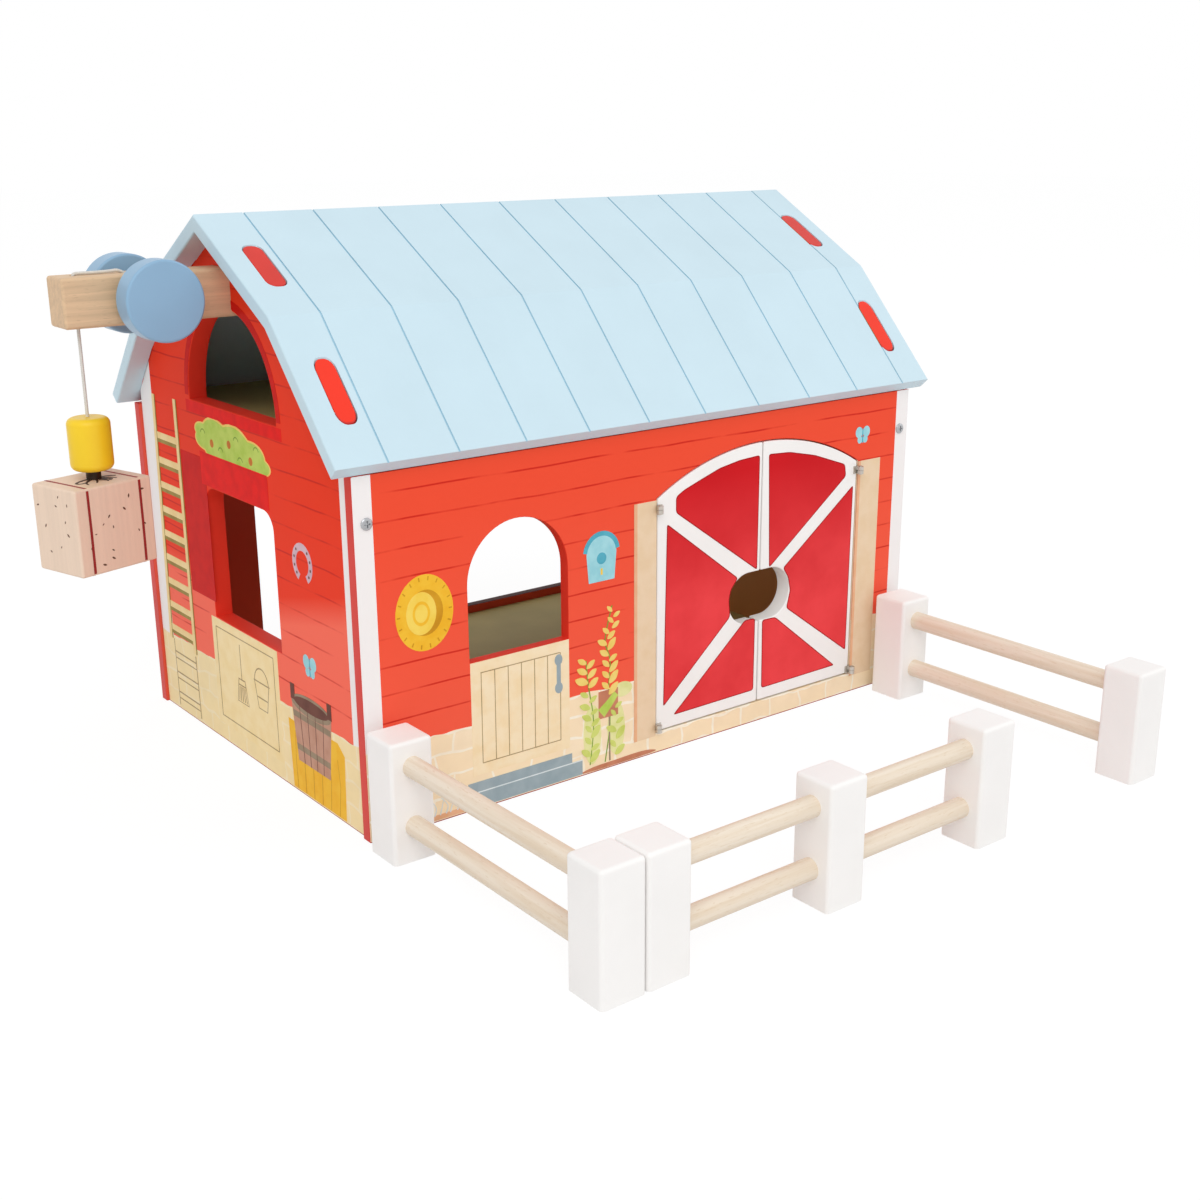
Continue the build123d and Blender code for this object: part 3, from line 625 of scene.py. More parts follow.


# Inks of the print, each a colour and its second tone; two of them are painted shade, not print
INK_TONES = {
    "straw": ("#f8c43c", "#f4b82e"),
    "straw_light": ("#fbdb66", "#f8d252"),
    "straw_dark": ("#d9a02a", "#cc9124"),
    "sky": ("#a9dfe8", "#98d4df"),
    # Painted shade, for the top of the rear opening's sill
    "sill_dark": ("#4a140d", "#42110b"),
    "sky_dark": ("#5db4c9", "#4ea6bd"),
    "board": ("#fce9c6", "#f9e1b6"),
    "board_line": ("#b59e78", "#a68f69"),
    "slate": ("#a2b2b9", "#98a9b1"),
    "slate_light": ("#e3eaec", "#d5dfe2"),
    "earth": ("#cf8a6c", "#c37e61"),
    "leaf": ("#c6dc6c", "#b2d055"),
    "leaf_light": ("#ecebac", "#e1e399"),
    "leaf_pale": ("#d6e07e", "#c8d469"),
    "leaf_dark": ("#86a944", "#789b3a"),
    "leaf_yellow": ("#f7dc80", "#f2d06a"),
    "ladder": ("#f8dea6", "#f3d394"),
    "ladder_dark": ("#a8934f", "#978043"),
    "deep_red": ("#f01711", "#e2110e"),
    # Painted shade and a painted dark reflection on the left gable
    "shade_red": ("#d6140b", "#cc0f09"),
    "cream_board": ("#fce7b6", "#f8e0a8"),
    "lilac": ("#dcc0cb", "#cfb0be"),
    "bark": ("#9f8d76", "#93806a"),
    "bark_dark": ("#74483d", "#683f35"),
    "rose": ("#c99b86", "#c08f79"),
    "post": ("#f0d6b6", "#ecd0ac"),
    "post_dark": ("#f0ba94", "#eab188"),
    "twine": ("#a33a38", "#963231"),
    "chaff": ("#6f5041", "#5e4234"),
    "knot": ("#4c362b", "#3c2a21"),
    "orange": ("#cf7c35", "#c06c2b"),
}


# Motifs of the print, each as layers of (ink, outlines)

def plank_door(u0, v0, u1, v1, planks=6, rim=7.0):
    """A half door of upright planks inside a frame."""
    pitch = (u1 - u0 - 2 * rim) / planks
    uprights = [
        stroke([(u0 + rim + k * pitch, v0 + rim), (u0 + rim + k * pitch + 0.4, v1 - rim)], 0.6)
        for k in range(planks + 1)
    ]
    rails = [stroke([(u0 + rim, v), (u1 - rim, v)], 0.6) for v in (v0 + rim, v1 - rim)]
    return [("board", [bar(u0, v0, u1, v1)]), ("board_line", uprights + rails)]


def straw_coil(u, v, half_width, half_height):
    """A flat coil of plaited straw: rings round a light middle."""
    ticks = []
    for k in range(18):
        angle = 2 * pi * k / 18
        spokes = [(u + half_width * r * cos(angle), v + half_height * r * sin(angle)) for r in (0.84, 0.95)]
        ticks.append(stroke(spokes, 0.8))
    return [
        ("straw", [flowing(oval(u, v, half_width, half_height, 14), 3)]),
        ("straw_dark", [oval(u + half_width * 0.02, v, half_width * 0.62, half_height * 0.6)] + ticks),
        ("straw_light", [oval(u - half_width * 0.12, v, half_width * 0.52, half_height * 0.56)]),
        ("straw", [oval(u - half_width * 0.12, v, half_width * 0.3, half_height * 0.32)]),
        ("straw_light", [oval(u - half_width * 0.12, v, half_width * 0.22, half_height * 0.24)]),
    ]


def nest_box(u, v, half_width, height):
    """A round-topped nesting box with a door hole and a perch."""
    top = v + height - half_width
    body = [(u - half_width * 0.86, v), (u + half_width * 0.86, v)] + arc(u, top, half_width, 0, 180, 14)
    roof = stroke(arc(u, top, half_width * 1.1, 8, 172, 14), 3.0)
    return [
        ("sky", [body]),
        ("sky_dark", [roof, oval(u, v + height * 0.5, half_width * 0.32)]),
        ("straw_light", [bar(u - 0.8, v + height * 0.14, u + 0.8, v + height * 0.28)]),
    ]


def butterfly(u, v, span):
    """A small butterfly with four plain wings."""
    wings = []
    for side in (-1, 1):
        wings.append(oval(u + side * span * 0.28, v + span * 0.16, span * 0.26, span * 0.3, 18))
        wings.append(oval(u + side * span * 0.2, v - span * 0.24, span * 0.18, span * 0.2, 16))
    return [("sky", wings), ("sky_dark", [stroke([(u, v - span * 0.42), (u, v + span * 0.36)], 1.2, 0.7)])]


def horseshoe(u, v, radius):
    """A horseshoe with its nail holes, its open end down."""
    shoe = arc(u, v, radius, -62, 242, 22)
    nails = [
        oval(*turned(u, v, radius, angle), 0.9, count=12) for angle in (-42, -14, 16, 48, 132, 164, 194, 222)
    ]
    return [("lilac", [stroke(shoe, radius * 0.46)]), ("bark_dark", nails)]


def haystack(u0, u1, top, wave=0.0):
    """A stack of hay with long stalks, its crown waved."""
    width = u1 - u0
    count = 9
    crown = [
        (u1 - width * k / count, top * (0.86 + 0.16 * sin(pi * k / count) + 0.035 * cos(2.4 * k + wave)))
        for k in range(count + 1)
    ]
    body = [(u0 + 2, 1.6), (u1 - 2, 1.6)] + crown
    stalks = [
        stroke([(u0 + width * (0.14 + 0.15 * k), 2.0), (u0 + width * (0.1 + 0.16 * k), top * 0.42),
                (u0 + width * (0.13 + 0.15 * k), top * (0.74 + 0.06 * sin(3 * k)))], 0.9, 0.4)
        for k in range(6)
    ]
    return [("straw", [body]), ("straw_dark", stalks)]


def tub(u0, v0, u1, v1):
    """A wooden tub with two hoops and two handles, wider at its rim."""
    lean = (u1 - u0) * 0.1
    staves = [(u0 + lean, v0), (u1 - lean, v0), (u1, v1 - 7), (u0, v1 - 7)]
    lines = [
        stroke([(u0 + lean + (u1 - u0 - 2 * lean) * k / 5, v0), (u0 + (u1 - u0) * k / 5, v1 - 7)], 0.6)
        for k in range(1, 5)
    ]
    hoops = [
        stroke([(u0 + lean * (1 - t), v0 + (v1 - v0) * t), (u1 - lean * (1 - t), v0 + (v1 - v0) * t)], 4.0)
        for t in (0.2, 0.66)
    ]
    rim = [oval((u0 + u1) / 2, v1 - 7, (u1 - u0) / 2, 6.5)]
    inside = [oval((u0 + u1) / 2, v1 - 6.4, (u1 - u0) / 2 - 3.5, 4.2)]
    handles = [bar(u0 - 0.5, v1 - 7, u0 + 4.5, v1 + 3), bar(u1 - 4.5, v1 - 7, u1 + 0.5, v1 + 3)]
    return [("rose", [staves]), ("bark", hoops + rim), ("bark_dark", lines + inside + handles)]


def hedge(u0, v0, u1, v1, lobes=9):
    """A trimmed hedge with a scalloped outline, and a few apples on it."""
    def outline(grow):
        centre_v = (v0 + v1) / 2
        points = []
        for k in range(lobes * 8):
            t = 2 * pi * k / (lobes * 8)
            bump = abs(sin(t * lobes / 2))
            reach_u = (u1 - u0) / 2 * (0.94 + 0.06 * bump) + grow
            reach_v = (v1 - v0) / 2 * (0.8 + 0.2 * bump) + grow
            lift = cos(t) * (v1 - v0) * 0.12
            points.append(((u0 + u1) / 2 + reach_u * cos(t), centre_v + lift + reach_v * sin(t)))
        return points

    apples = [
        oval(u0 + (u1 - u0) * a, v0 + (v1 - v0) * b, 2.6) for a, b in ((0.24, 0.42), (0.52, 0.6), (0.76, 0.5))
    ]
    tufts = [
        stroke(arc(u0 + (u1 - u0) * a, v0 + (v1 - v0) * b, 3.6, 20, 160, 8), 0.8)
        for a, b in ((0.16, 0.62), (0.38, 0.3), (0.42, 0.68), (0.64, 0.36), (0.88, 0.62))
    ]
    leaves = [("leaf_yellow", [outline(1.4)]), ("leaf", [outline(0.0)]), ("leaf_dark", tufts)]
    return leaves + [("orange", apples)]


# Geometry Nodes trees

def new_tree(name, **inputs):
    """An empty geometry tree with named inputs, and the sockets that hand them on."""
    tree = bpy.data.node_groups.new(name, "GeometryNodeTree")
    tree.interface.new_socket("Geometry", in_out="OUTPUT", socket_type="NodeSocketGeometry")
    for label, kind in inputs.items():
        tree.interface.new_socket(label.replace("_", " "), in_out="INPUT", socket_type="NodeSocket" + kind)
    return tree, add(tree, "NodeGroupInput").outputs


def close_tree(tree, given, made):
    """End a tree in real meshes of one material."""
    real = add(tree, "GeometryNodeRealizeInstances", {0: made})
    painted = add(tree, "GeometryNodeSetMaterial", {0: real, "Material": given["Material"]})
    add(tree, "NodeGroupOutput", {0: painted})
    return tree


def row_tree():
    """Copies of a piece in a straight row."""
    tree, given = new_tree(
        "row_of_copies", Piece="Object", Count="Int", Start="Vector", Step="Vector", Material="Material"
    )
    piece = add(tree, "GeometryNodeObjectInfo", {"Object": given["Piece"]})
    line = add(tree, "GeometryNodeMeshLine", {
        "Count": given["Count"], "Start Location": given["Start"], "Offset": given["Step"],
    })
    copies = add(tree, "GeometryNodeInstanceOnPoints", {
        "Points": line, "Instance": piece.outputs["Geometry"],
    })
    return close_tree(tree, given, copies)


def scatter_tree():
    """Copies of a piece scattered over a surface, laid flat on it and turned at random."""
    tree, given = new_tree(
        "scattered_copies", Surface="Object", Piece="Object", Spacing="Float", Density="Float", Seed="Int",
        Least="Float", Most="Float", Material="Material",
    )
    surface = add(tree, "GeometryNodeObjectInfo", {"Object": given["Surface"]})
    piece = add(tree, "GeometryNodeObjectInfo", {"Object": given["Piece"]})
    points = add(tree, "GeometryNodeDistributePointsOnFaces", {
        "Mesh": surface.outputs["Geometry"], "Distance Min": given["Spacing"],
        "Density Max": given["Density"], "Seed": given["Seed"],
    }, distribute_method="POISSON")
    spin = add(tree, "FunctionNodeRandomValue", {2: 0.0, 3: 2 * pi, "Seed": given["Seed"]})
    about = add(tree, "ShaderNodeCombineXYZ", {2: spin.outputs[1]})
    laid = add(tree, "FunctionNodeRotateRotation", {
        0: points.outputs["Rotation"], 1: about}, rotation_space="LOCAL")
    scale = add(tree, "FunctionNodeRandomValue", {
        2: given["Least"], 3: given["Most"], "Seed": given["Seed"],
    })
    copies = add(tree, "GeometryNodeInstanceOnPoints", {
        "Points": points.outputs["Points"], "Instance": piece.outputs["Geometry"], "Rotation": laid,
        "Scale": scale.outputs[1],
    })
    return close_tree(tree, given, copies)


def vine_tree():
    """Leaves on alternate sides of a stem, smaller towards its tip, flat on the face that carries them."""
    tree, given = new_tree(
        "leaves_on_a_stem", Stem="Object", Leaf="Object", Count="Int", Spread="Float", Facing="Vector",
        Lean="Float", Seed="Int", Material="Material",
    )
    stem = add(tree, "GeometryNodeObjectInfo", {"Object": given["Stem"]})
    leaf = add(tree, "GeometryNodeObjectInfo", {"Object": given["Leaf"]})
    points = add(tree, "GeometryNodeCurveToPoints", {
        "Curve": stem.outputs["Geometry"], "Count": given["Count"],
    }, mode="COUNT")
    number = add(tree, "GeometryNodeInputIndex")
    odd = add(tree, "ShaderNodeMath", {0: number, 1: 2.0}, operation="MODULO")
    side = add(tree, "ShaderNodeMapRange", {0: odd, 3: -1.0, 4: 1.0})
    swing = add(tree, "ShaderNodeMath", {0: side, 1: given["Spread"]}, operation="MULTIPLY")
    chance = add(tree, "FunctionNodeRandomValue", {2: -0.25, 3: 0.25, "Seed": given["Seed"]})
    angle = add(tree, "ShaderNodeMath", {0: swing, 1: chance.outputs[1]}, operation="ADD")
    leaning = add(tree, "ShaderNodeMath", {0: angle, 1: given["Lean"]}, operation="ADD")
    turn = add(tree, "FunctionNodeAxisAngleToRotation", {"Axis": given["Facing"], "Angle": leaning})
    leaf_size = add(tree, "FunctionNodeRandomValue", {2: 0.72, 3: 1.1, "Seed": given["Seed"]})
    share = add(tree, "ShaderNodeMath", {0: number, 1: given["Count"]}, operation="DIVIDE")
    slim = add(tree, "ShaderNodeMapRange", {0: share, 3: 1.0, 4: 0.72})
    scale = add(tree, "ShaderNodeMath", {0: leaf_size.outputs[1], 1: slim}, operation="MULTIPLY")
    copies = add(tree, "GeometryNodeInstanceOnPoints", {
        "Points": points, "Instance": leaf.outputs["Geometry"], "Rotation": turn, "Scale": scale,
    })
    return close_tree(tree, given, copies)


def cord_tree():
    """Three strands laid round each other along a route, as one fluted tube that twists."""
    tree, given = new_tree(
        "twisted_cord", Route="Object", Radius="Float", Ring_Spacing="Float", Strand_Length="Float",
        Material="Material",
    )
    route = add(tree, "GeometryNodeObjectInfo", {"Object": given["Route"]})
    rings = add(tree, "GeometryNodeResampleCurve", {
        "Curve": route.outputs["Geometry"], "Length": given["Ring Spacing"],
    }, mode="LENGTH")
    along = add(tree, "GeometryNodeSplineParameter").outputs["Length"]
    rounds = add(tree, "ShaderNodeMath", {0: along, 1: given["Strand Length"]}, operation="DIVIDE")
    twist = add(tree, "ShaderNodeMath", {0: rounds, 1: 2 * pi}, operation="MULTIPLY")
    tilted = add(tree, "GeometryNodeSetCurveTilt", {"Curve": rings, "Tilt": twist})
    valley = add(tree, "ShaderNodeMath", {0: given["Radius"], 1: 0.8}, operation="MULTIPLY")
    flutes = add(tree, "GeometryNodeCurveStar", {
        "Points": 6, "Inner Radius": valley, "Outer Radius": given["Radius"],
    })
    tube = add(tree, "GeometryNodeCurveToMesh", {
        "Curve": tilted, "Profile Curve": flutes.outputs["Curve"], "Fill Caps": True,
    })
    return close_tree(tree, given, tube)


def grown(name, tree, **inputs):
    """The plain mesh that a tree makes from these inputs."""
    piece = in_scene(name, bpy.data.meshes.new(name))
    build = piece.modifiers.new("Build", "NODES")
    build.node_group = tree
    for item in tree.interface.items_tree:
        key = item.name.replace(" ", "_")
        if item.in_out == "INPUT" and key in inputs:
            build[item.identifier] = inputs[key]
    mesh = evaluated(piece)
    piece.modifiers.remove(build)
    mesh.name = name
    piece.data = mesh
    return piece


def shape_object(name, outline, place, height):
    """A helper that holds one repeated shape and is removed once its copies are made."""
    shape = bmesh.new()
    plate(shape, outline, place, height)
    bmesh.ops.recalc_face_normals(shape, faces=shape.faces)
    return from_shape(name, shape)


def route_object(name, points):
    """A helper curve: one open NURBS spline with these points, in metres, as its control points."""
    curve = bpy.data.curves.new(name, "CURVE")
    curve.dimensions = "3D"
    curve.resolution_u = 12
    spline = curve.splines.new("NURBS")
    spline.points.add(len(points) - 1)
    for point, place in zip(spline.points, points):
        point.co = (*place, 1.0)
    spline.order_u = 3
    spline.use_endpoint_u = True
    return in_scene(name, curve)


def drop(*helpers):
    """Remove helper objects."""
    for helper in helpers:
        bpy.data.objects.remove(helper, do_unlink=True)


# Operators, one for each piece or group of like pieces

class BARN_OT_walls(bpy.types.Operator):
    """Build the printed front, rear and gable panels"""
    bl_idname = "barn.walls"
    bl_label = "Walls"

    # A panel's materials, by their place in its list
    PLAIN, PRINTED, INNER, SAWN, POST, SILL = range(6)
    # In millimetres: heights that only sills lie between, the doorway's reach across the front, how far all
    # openings stay clear of a panel's ends, and the heights above its foot that they lie between
    SILLS = (5, 30)
    DOORWAY = (-20, 190)
    CLEAR = 13
    OPENINGS = (3, 290)

    def execute(self, context):
        colours = colours_now()
        edge = context.scene.barn_sizes.panel_edge
        plain = enamel("enamelled_plywood_red", colours["wall_plain"], 0.75)
        # The openings' sawn faces take a lighter red, which is painted light
        sawn = enamel("enamelled_plywood_opening_red", colours["reveal"], 0.85, gloss=0.1)
        # The inner faces take a lighter red, which is painted light
        inside = enamel("enamelled_plywood_inner_red", colours["inside"], 0.8)
        brown = enamel("enamelled_plywood_brown", colours["inside_brown"], 0.8)
        # On the gables the red is deeper, which is painted shade, and the stones are cream
        gable_colours = {
            **colours, "wall": colours["gable"], "stone": colours["cream"],
            "stone_light": between(colours["cream"], colours["stone_light"], 0.4),
        }
        # The numbers after the colours set the painted floor reflection: its share, the heights it spreads
        # over, and on the gables its lean
        long_print = printed_wall("printed_plywood_long_walls", "X", FRONT_STRIPS, colours, 0.35, (60, 190))
        gable_print = printed_wall(
            "printed_plywood_gables", "Y", GABLE_STRIPS, gable_colours, 0.95, (94, 112), lean=0.23,
        )
        for name, direction, printed, inner in (
            ("front_wall_panel", (0, -1, 0), long_print, inside),
            ("rear_wall_panel", (0, 1, 0), long_print, inside),
            ("left_gable_panel", (-1, 0, 0), gable_print, inside),
            ("right_gable_panel", (1, 0, 0), gable_print, brown),
        ):
            out = Vector(direction)
            low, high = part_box(name)
            run = 0 if abs(out.y) > 0.5 else 1

            def material_of(normal, centre):
                if abs(normal.dot(out)) > 0.9:
                    return self.PRINTED if normal.dot(out) > 0 else self.INNER
                # The doorway's sill is printed; the rear opening's sill top is drawn dark, as painted shade
                # inside the barn
                if abs(out.y) > 0.9 and normal.z > 0.9 and inside_limits(centre.z, self.SILLS):
                    return self.PRINTED if out.y < 0 else self.SILL
                # The doorway's jambs carry on the tan of the posts printed beside them
                if out.y < -0.9 and abs(normal.x) > 0.9 and inside_limits(centre.x, self.DOORWAY):
                    return self.POST
                within = low[run] + self.CLEAR * MM < centre[run] < high[run] - self.CLEAR * MM
                return self.SAWN if within and inside_limits(centre.z - low.z, self.OPENINGS) else self.PLAIN

            materials = [plain, printed, inner, sawn, ink_named("post"), ink_named("sill_dark")]
            finished(name, materials, edge, material_of)
        return {"FINISHED"}


class BARN_OT_floors(bpy.types.Operator):
    """Build the barn floor, the loft floor, and the battens and cleats under them"""
    bl_idname = "barn.floors"
    bl_label = "Floors"

    def execute(self, context):
        colours = colours_now()
        dark = darker(colours["beech"], 0.7)
        green = enamel("stained_plywood_green", colours["floor"], 0.7, roughness=0.6)
        along = beech("beech_battens", 0, colours["beech"], dark)
        across = beech("beech_cleats", 1, colours["beech"], dark)
        for material, names in (
            (green, ("floor_board", "loft_floor_board")),
            (along, ("floor_batten_front", "floor_batten_middle", "floor_batten_rear")),
            (across, ("loft_cleat_left", "loft_cleat_right")),
        ):
            for name in names:
                finished(name, [material], context.scene.barn_sizes.board_edge)
        return {"FINISHED"}


class BARN_OT_roof(bpy.types.Operator):
    """Build the four grooved roof boards that lift off together"""
    bl_idname = "barn.roof"
    bl_label = "Roof"

    # In millimetres: how far the grooves stay clear of a board's ends, the depths that only their floors lie
    # between, and a depth that the middles of their sides lie above
    CLEAR = 3
    FLOORS = (0.4, 2)
    SIDES = 1

    def execute(self, context):
        blue = enamel("enamelled_plywood_blue", colours_now()["roof"], 0.93, roughness=0.38)
        # The grooves take a darker blue: painted shade in the grooves
        groove_shade = enamel("enamel_pooled_in_grooves", linear("#aed2e2"), 0.85, roughness=0.5)
        for name in ("roof_upper_front", "roof_upper_rear", "roof_lower_front", "roof_lower_rear"):
            board = frame["nodes"][name].data
            low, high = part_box(name)
            # The board's outer face looks up and away from the ridge
            slopes = [face for face in board.polygons if face.normal.z > 0.3]
            out = max(slopes, key=lambda face: face.area).normal.copy()
            level = max(vertex.co.dot(out) for vertex in board.vertices)

            def is_groove(normal, centre):
                depth = level - centre.dot(out)
                inside = low.x + self.CLEAR * MM < centre.x < high.x - self.CLEAR * MM
                floor = normal.dot(out) > 0.9 and inside_limits(depth, self.FLOORS)
                side = abs(normal.x) > 0.9 and depth < self.SIDES * MM
                return int(inside and (floor or side))

            finished(name, [blue, groove_shade], slot_of=is_groove)
        return {"FINISHED"}


class BARN_OT_doors(bpy.types.Operator):
    """Build the two white door leaves with their red fields"""
    bl_idname = "barn.doors"
    bl_label = "Door leaves"

    # Corners of the painted fields, in millimetres on the front, and the width of their dark outline
    LEFT_FIELDS = (
        ((7.2, 168.8), (13.7, 172.3), (27, 176.8), (43.8, 182.2), (61, 185), (78.6, 185.9), (78.5, 108.3),
         (7.3, 158.5)),
        ((0, 152.6), (61.5, 105.9), (55.5, 98.8), (53.9, 92.3), (55.1, 80.3), (-2.2, 30.6)),
        ((6.3, 22.9), (68.7, 75.4), (77.8, 74.9), (77.7, 23.5)),
    )
    RIGHT_FIELDS = (
        ((86.6, 185.5), (105.8, 184.3), (129.3, 179.1), (158.7, 168.9), (160.2, 160.4), (89.5, 107.7)),
        ((167.6, 153), (166.9, 32.9), (106.7, 76.2), (109.9, 88.4), (107.6, 98), (102.6, 105.3)),
        ((85.2, 23.2), (156.2, 23.9), (96.5, 71.9), (84.4, 72.2)),
    )
    OUTLINE = 0.6

    def execute(self, context):
        colours = colours_now()
        white = enamel("enamelled_plywood_white", colours["white"], 0.94)
        red = enamel(
            "printed_door_red", colours["door"], 0.9, main_low=colours["door_low"], heights=(95, 178),
            gloss=0.08,
        )
        rim = enamel("printed_door_outline", darker(colours["door"], 0.6), 5 / 6, gloss=0.08)
        for name, outlines, body in (
            ("left_door", self.LEFT_FIELDS, "left_leaf"), ("right_door", self.RIGHT_FIELDS, "right_leaf"),
        ):
            finished(name, [white], context.scene.barn_sizes.leaf_edge)
            rounded = [softened(outline) for outline in outlines]
            inner = [softened(drawn_in(outline, self.OUTLINE)) for outline in outlines]
            print_piece(name + "_fields", on_front, [(rim, rounded), (red, inner)], body)
        return {"FINISHED"}


class BARN_OT_fittings(bpy.types.Operator):
    """Build the hinges and the cross-headed wall screws"""
    bl_idname = "barn.fittings"
    bl_label = "Hinges and screws"

    # In millimetres: how far the screws stand from the barn's middle, the height of the lower ones, and how
    # far the upper ones lie below the top of their heads
    SCREW_REACH = 212
    SCREW_LOW = 30.0
    HEAD_HALF = 3.6

    def screw(self, head_radius=3.55, height=1.2, arm=1.9, half_arm=0.42, deep=0.85):
        """A pointed shank and a domed head with a cross recess, its axis along Y and its seat at y = 0."""
        # Each arm of the cross is the one before it, turned by a quarter
        corners = [(arm, -half_arm), (arm, half_arm), (half_arm, half_arm)]
        for k in range(9):
            u, v = corners[-3]
            corners.append((-v, u))
        cross = []
        for (u, v), (next_u, next_v) in zip(corners, corners[1:] + corners[:1]):
            cross += [(u, v), ((u + next_u) / 2, (v + next_v) / 2)]
        count = len(cross)
        # Radius of each ring and how far out it lies, from the point up to the rim of the recess
        profile = (
            (0.3, -25.0), (2.0, -21.0), (2.0, 0.0), (head_radius, 0.0), (head_radius, height * 0.45),
            (head_radius * 0.86, height * 0.85), (head_radius * 0.66, height),
        )
        start = degrees(atan2(-half_arm, arm))
        rings = [
            [(*turned(0.0, 0.0, radius, start + 360 * k / count), out) for k in range(count)]
            for radius, out in profile
        ]
        rings.append([(u, v, height) for u, v in cross])
        rings.append([(u * 0.8, v * 0.8, height - deep) for u, v in cross])
        shape = bmesh.new()
        loops = [[shape.verts.new(Vector((u, -out, v)) * MM) for u, v, out in ring] for ring in rings]
        for lower, upper in zip(loops, loops[1:]):
            for k in range(count):
                j = (k + 1) % count
                shape.faces.new((lower[k], lower[j], upper[j], upper[k]))
        shape.faces.new(loops[0][::-1])
        shape.faces.new(loops[-1])
        bmesh.ops.recalc_face_normals(shape, faces=shape.faces)
        return from_shape("screw", shape)

    def execute(self, context):
        steel = plated_steel("zinc_plated_steel_screws", "#c9cacc", "#9b9ea2", 0.36)
        tree = row_tree()
        head = self.screw()
        low = self.SCREW_LOW * MM
        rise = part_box("wall_screws")[1].z - self.HEAD_HALF * MM - low
        merged = bmesh.new()
        for side in (-1, 1):
            for face in (-1, 1):
                start = (side * self.SCREW_REACH * MM, face * FRONT_FACE * MM, low)
                row = grown(
                    "screw_row", tree, Piece=head, Count=2, Start=start, Step=(0.0, 0.0, rise),
                    Material=steel,
                )
                # The rear screws point forwards
                if face > 0:
                    for vertex in row.data.vertices:
                        vertex.co.y = 2 * FRONT_FACE * MM - vertex.co.y
                    row.data.flip_normals()
                merged.from_mesh(row.data)
                drop(row)
        drop(head)
        screws = from_shape("wall_screws_finish", merged, [steel])
        shade(screws)
        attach(screws, "barn")
        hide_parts("wall_screws")

        hinge_steel = plated_steel("rolled_steel_hinges", "#d8d2c9", "#b5aea5", 0.45)
        for name in (
            "door_hinge_frame_plates", "door_hinge_pins", "left_door_hinge_plates", "right_door_hinge_plates",
        ):
            finished(name, [hinge_steel])
        return {"FINISHED"}


class BARN_OT_hoist(bpy.types.Operator):
    """Build the hoist beam, its axle and the two discs"""
    bl_idname = "barn.hoist"
    bl_label = "Hoist"

    def execute(self, context):
        colours = colours_now()
        dark = darker(colours["beech"], 0.68)
        finished("hoist_beam", [beech("beech_beam", 0, colours["beech"], dark)])
        finished("hoist_axle", [beech("beech_axle", 1, colours["beech"], dark)])
        blue = enamel("enamelled_beech_blue", colours["disc"], 0.85, roughness=0.35)
        for name in ("hoist_disc_front", "hoist_disc_rear"):
            finished(name, [blue])
        return {"FINISHED"}


class BARN_OT_cords(bpy.types.Operator):
    """Build the hoist cord: its winding on the axle, its run along the beam and its hanging length"""
    bl_idname = "barn.cords"
    bl_label = "Hoist cord"

    # In millimetres: the axle's middle, the winding's radius to the cord's middle and its step per turn
    AXLE_X = -266.0
    AXLE_Z = 299.464
    RADIUS = 5.1
    PITCH = 2.5
    TURNS = 3
    POINTS_IN_A_TURN = 16
    # Control points in millimetres. The second one stands proud so that the line clears the beam's edge.
    UPPER = (
        (-267.28, 0.0, 306.79), (-277.0, 0.0, 315.5), (-284.0, 0.0, 314.55), (-300.5, 0.0, 314.55),
        (-304.5, 0.0, 314.6), (-304.5, 0.0, 310.4), (-304.5, 0.0, 285.47),
    )
    HANGING = ((-304.5, 0.0, 285.47), (-304.5, 0.0, 268.0), (-304.5, 0.0, 252.0), (-304.5, 0.0, 234.97))
    # Length of each facet along the cord's mesh, in millimetres
    RING_SPACING = 0.5

    def winding(self):
        """Control points of the turns round the axle."""
        points = []
        count = self.POINTS_IN_A_TURN * self.TURNS
        for k in range(count + 1):
            turns = self.TURNS * k / count
            x, z = turned(self.AXLE_X, self.AXLE_Z, self.RADIUS, 180 * (1 - 2 * turns))
            points.append((x, self.PITCH * (turns - self.TURNS / 2), z))
        return points

    def execute(self, context):
        sizes = context.scene.barn_sizes
        cotton = twisted_cotton("cotton_cord_twisted")
        tree = cord_tree()
        for name, node_name, points, body, lay in (
            ("cord_wound", "cord_winding", self.winding(), "hoist_drum", "coiled"),
            ("cord_on_beam", "hoist_cord_upper", self.UPPER, "barn", "taut"),
            ("cord_hanging", "hoist_cord", self.HANGING, None, "hanging"),
        ):
            route = route_object(name + "_route", [Vector(point) * MM for point in points])
            path = [vertex.co.copy() for vertex in evaluated(route).vertices]
            piece = grown(
                name, tree, Route=route, Radius=sizes.cord_width / 2, Ring_Spacing=self.RING_SPACING * MM,
                Strand_Length=sizes.strand_length, Material=cotton,
            )
            piece.data.shade_smooth()
            drop(route)
            if body:
                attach(piece, body)
            else:
                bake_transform(piece, "barn", "hoist_hook", start=path[0], end=path[-1])
            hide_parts(node_name)
        return {"FINISHED"}


class BARN_OT_load(bpy.types.Operator):
    """Build the yellow bead with its magnet, and the hay bale with its steel disc"""
    bl_idname = "barn.load"
    bl_label = "Bead and bale"

    def execute(self, context):
        colours = colours_now()
        finished("hoist_bead", [enamel("enamelled_beech_yellow", colours["bead"], 0.85, roughness=0.34)])
        finished("bead_magnet", [plated_steel("black_plated_magnet", "#4a3d36", "#332a25", 0.45)])
        finished("bale_steel_disc", [plated_steel("blued_steel_disc", "#4f433b", "#383029", 0.45)])
        finished("hay_bale", [beech("beech_bale", 2, colours["bale"], darker(colours["bale"], 0.9))])
        return {"FINISHED"}


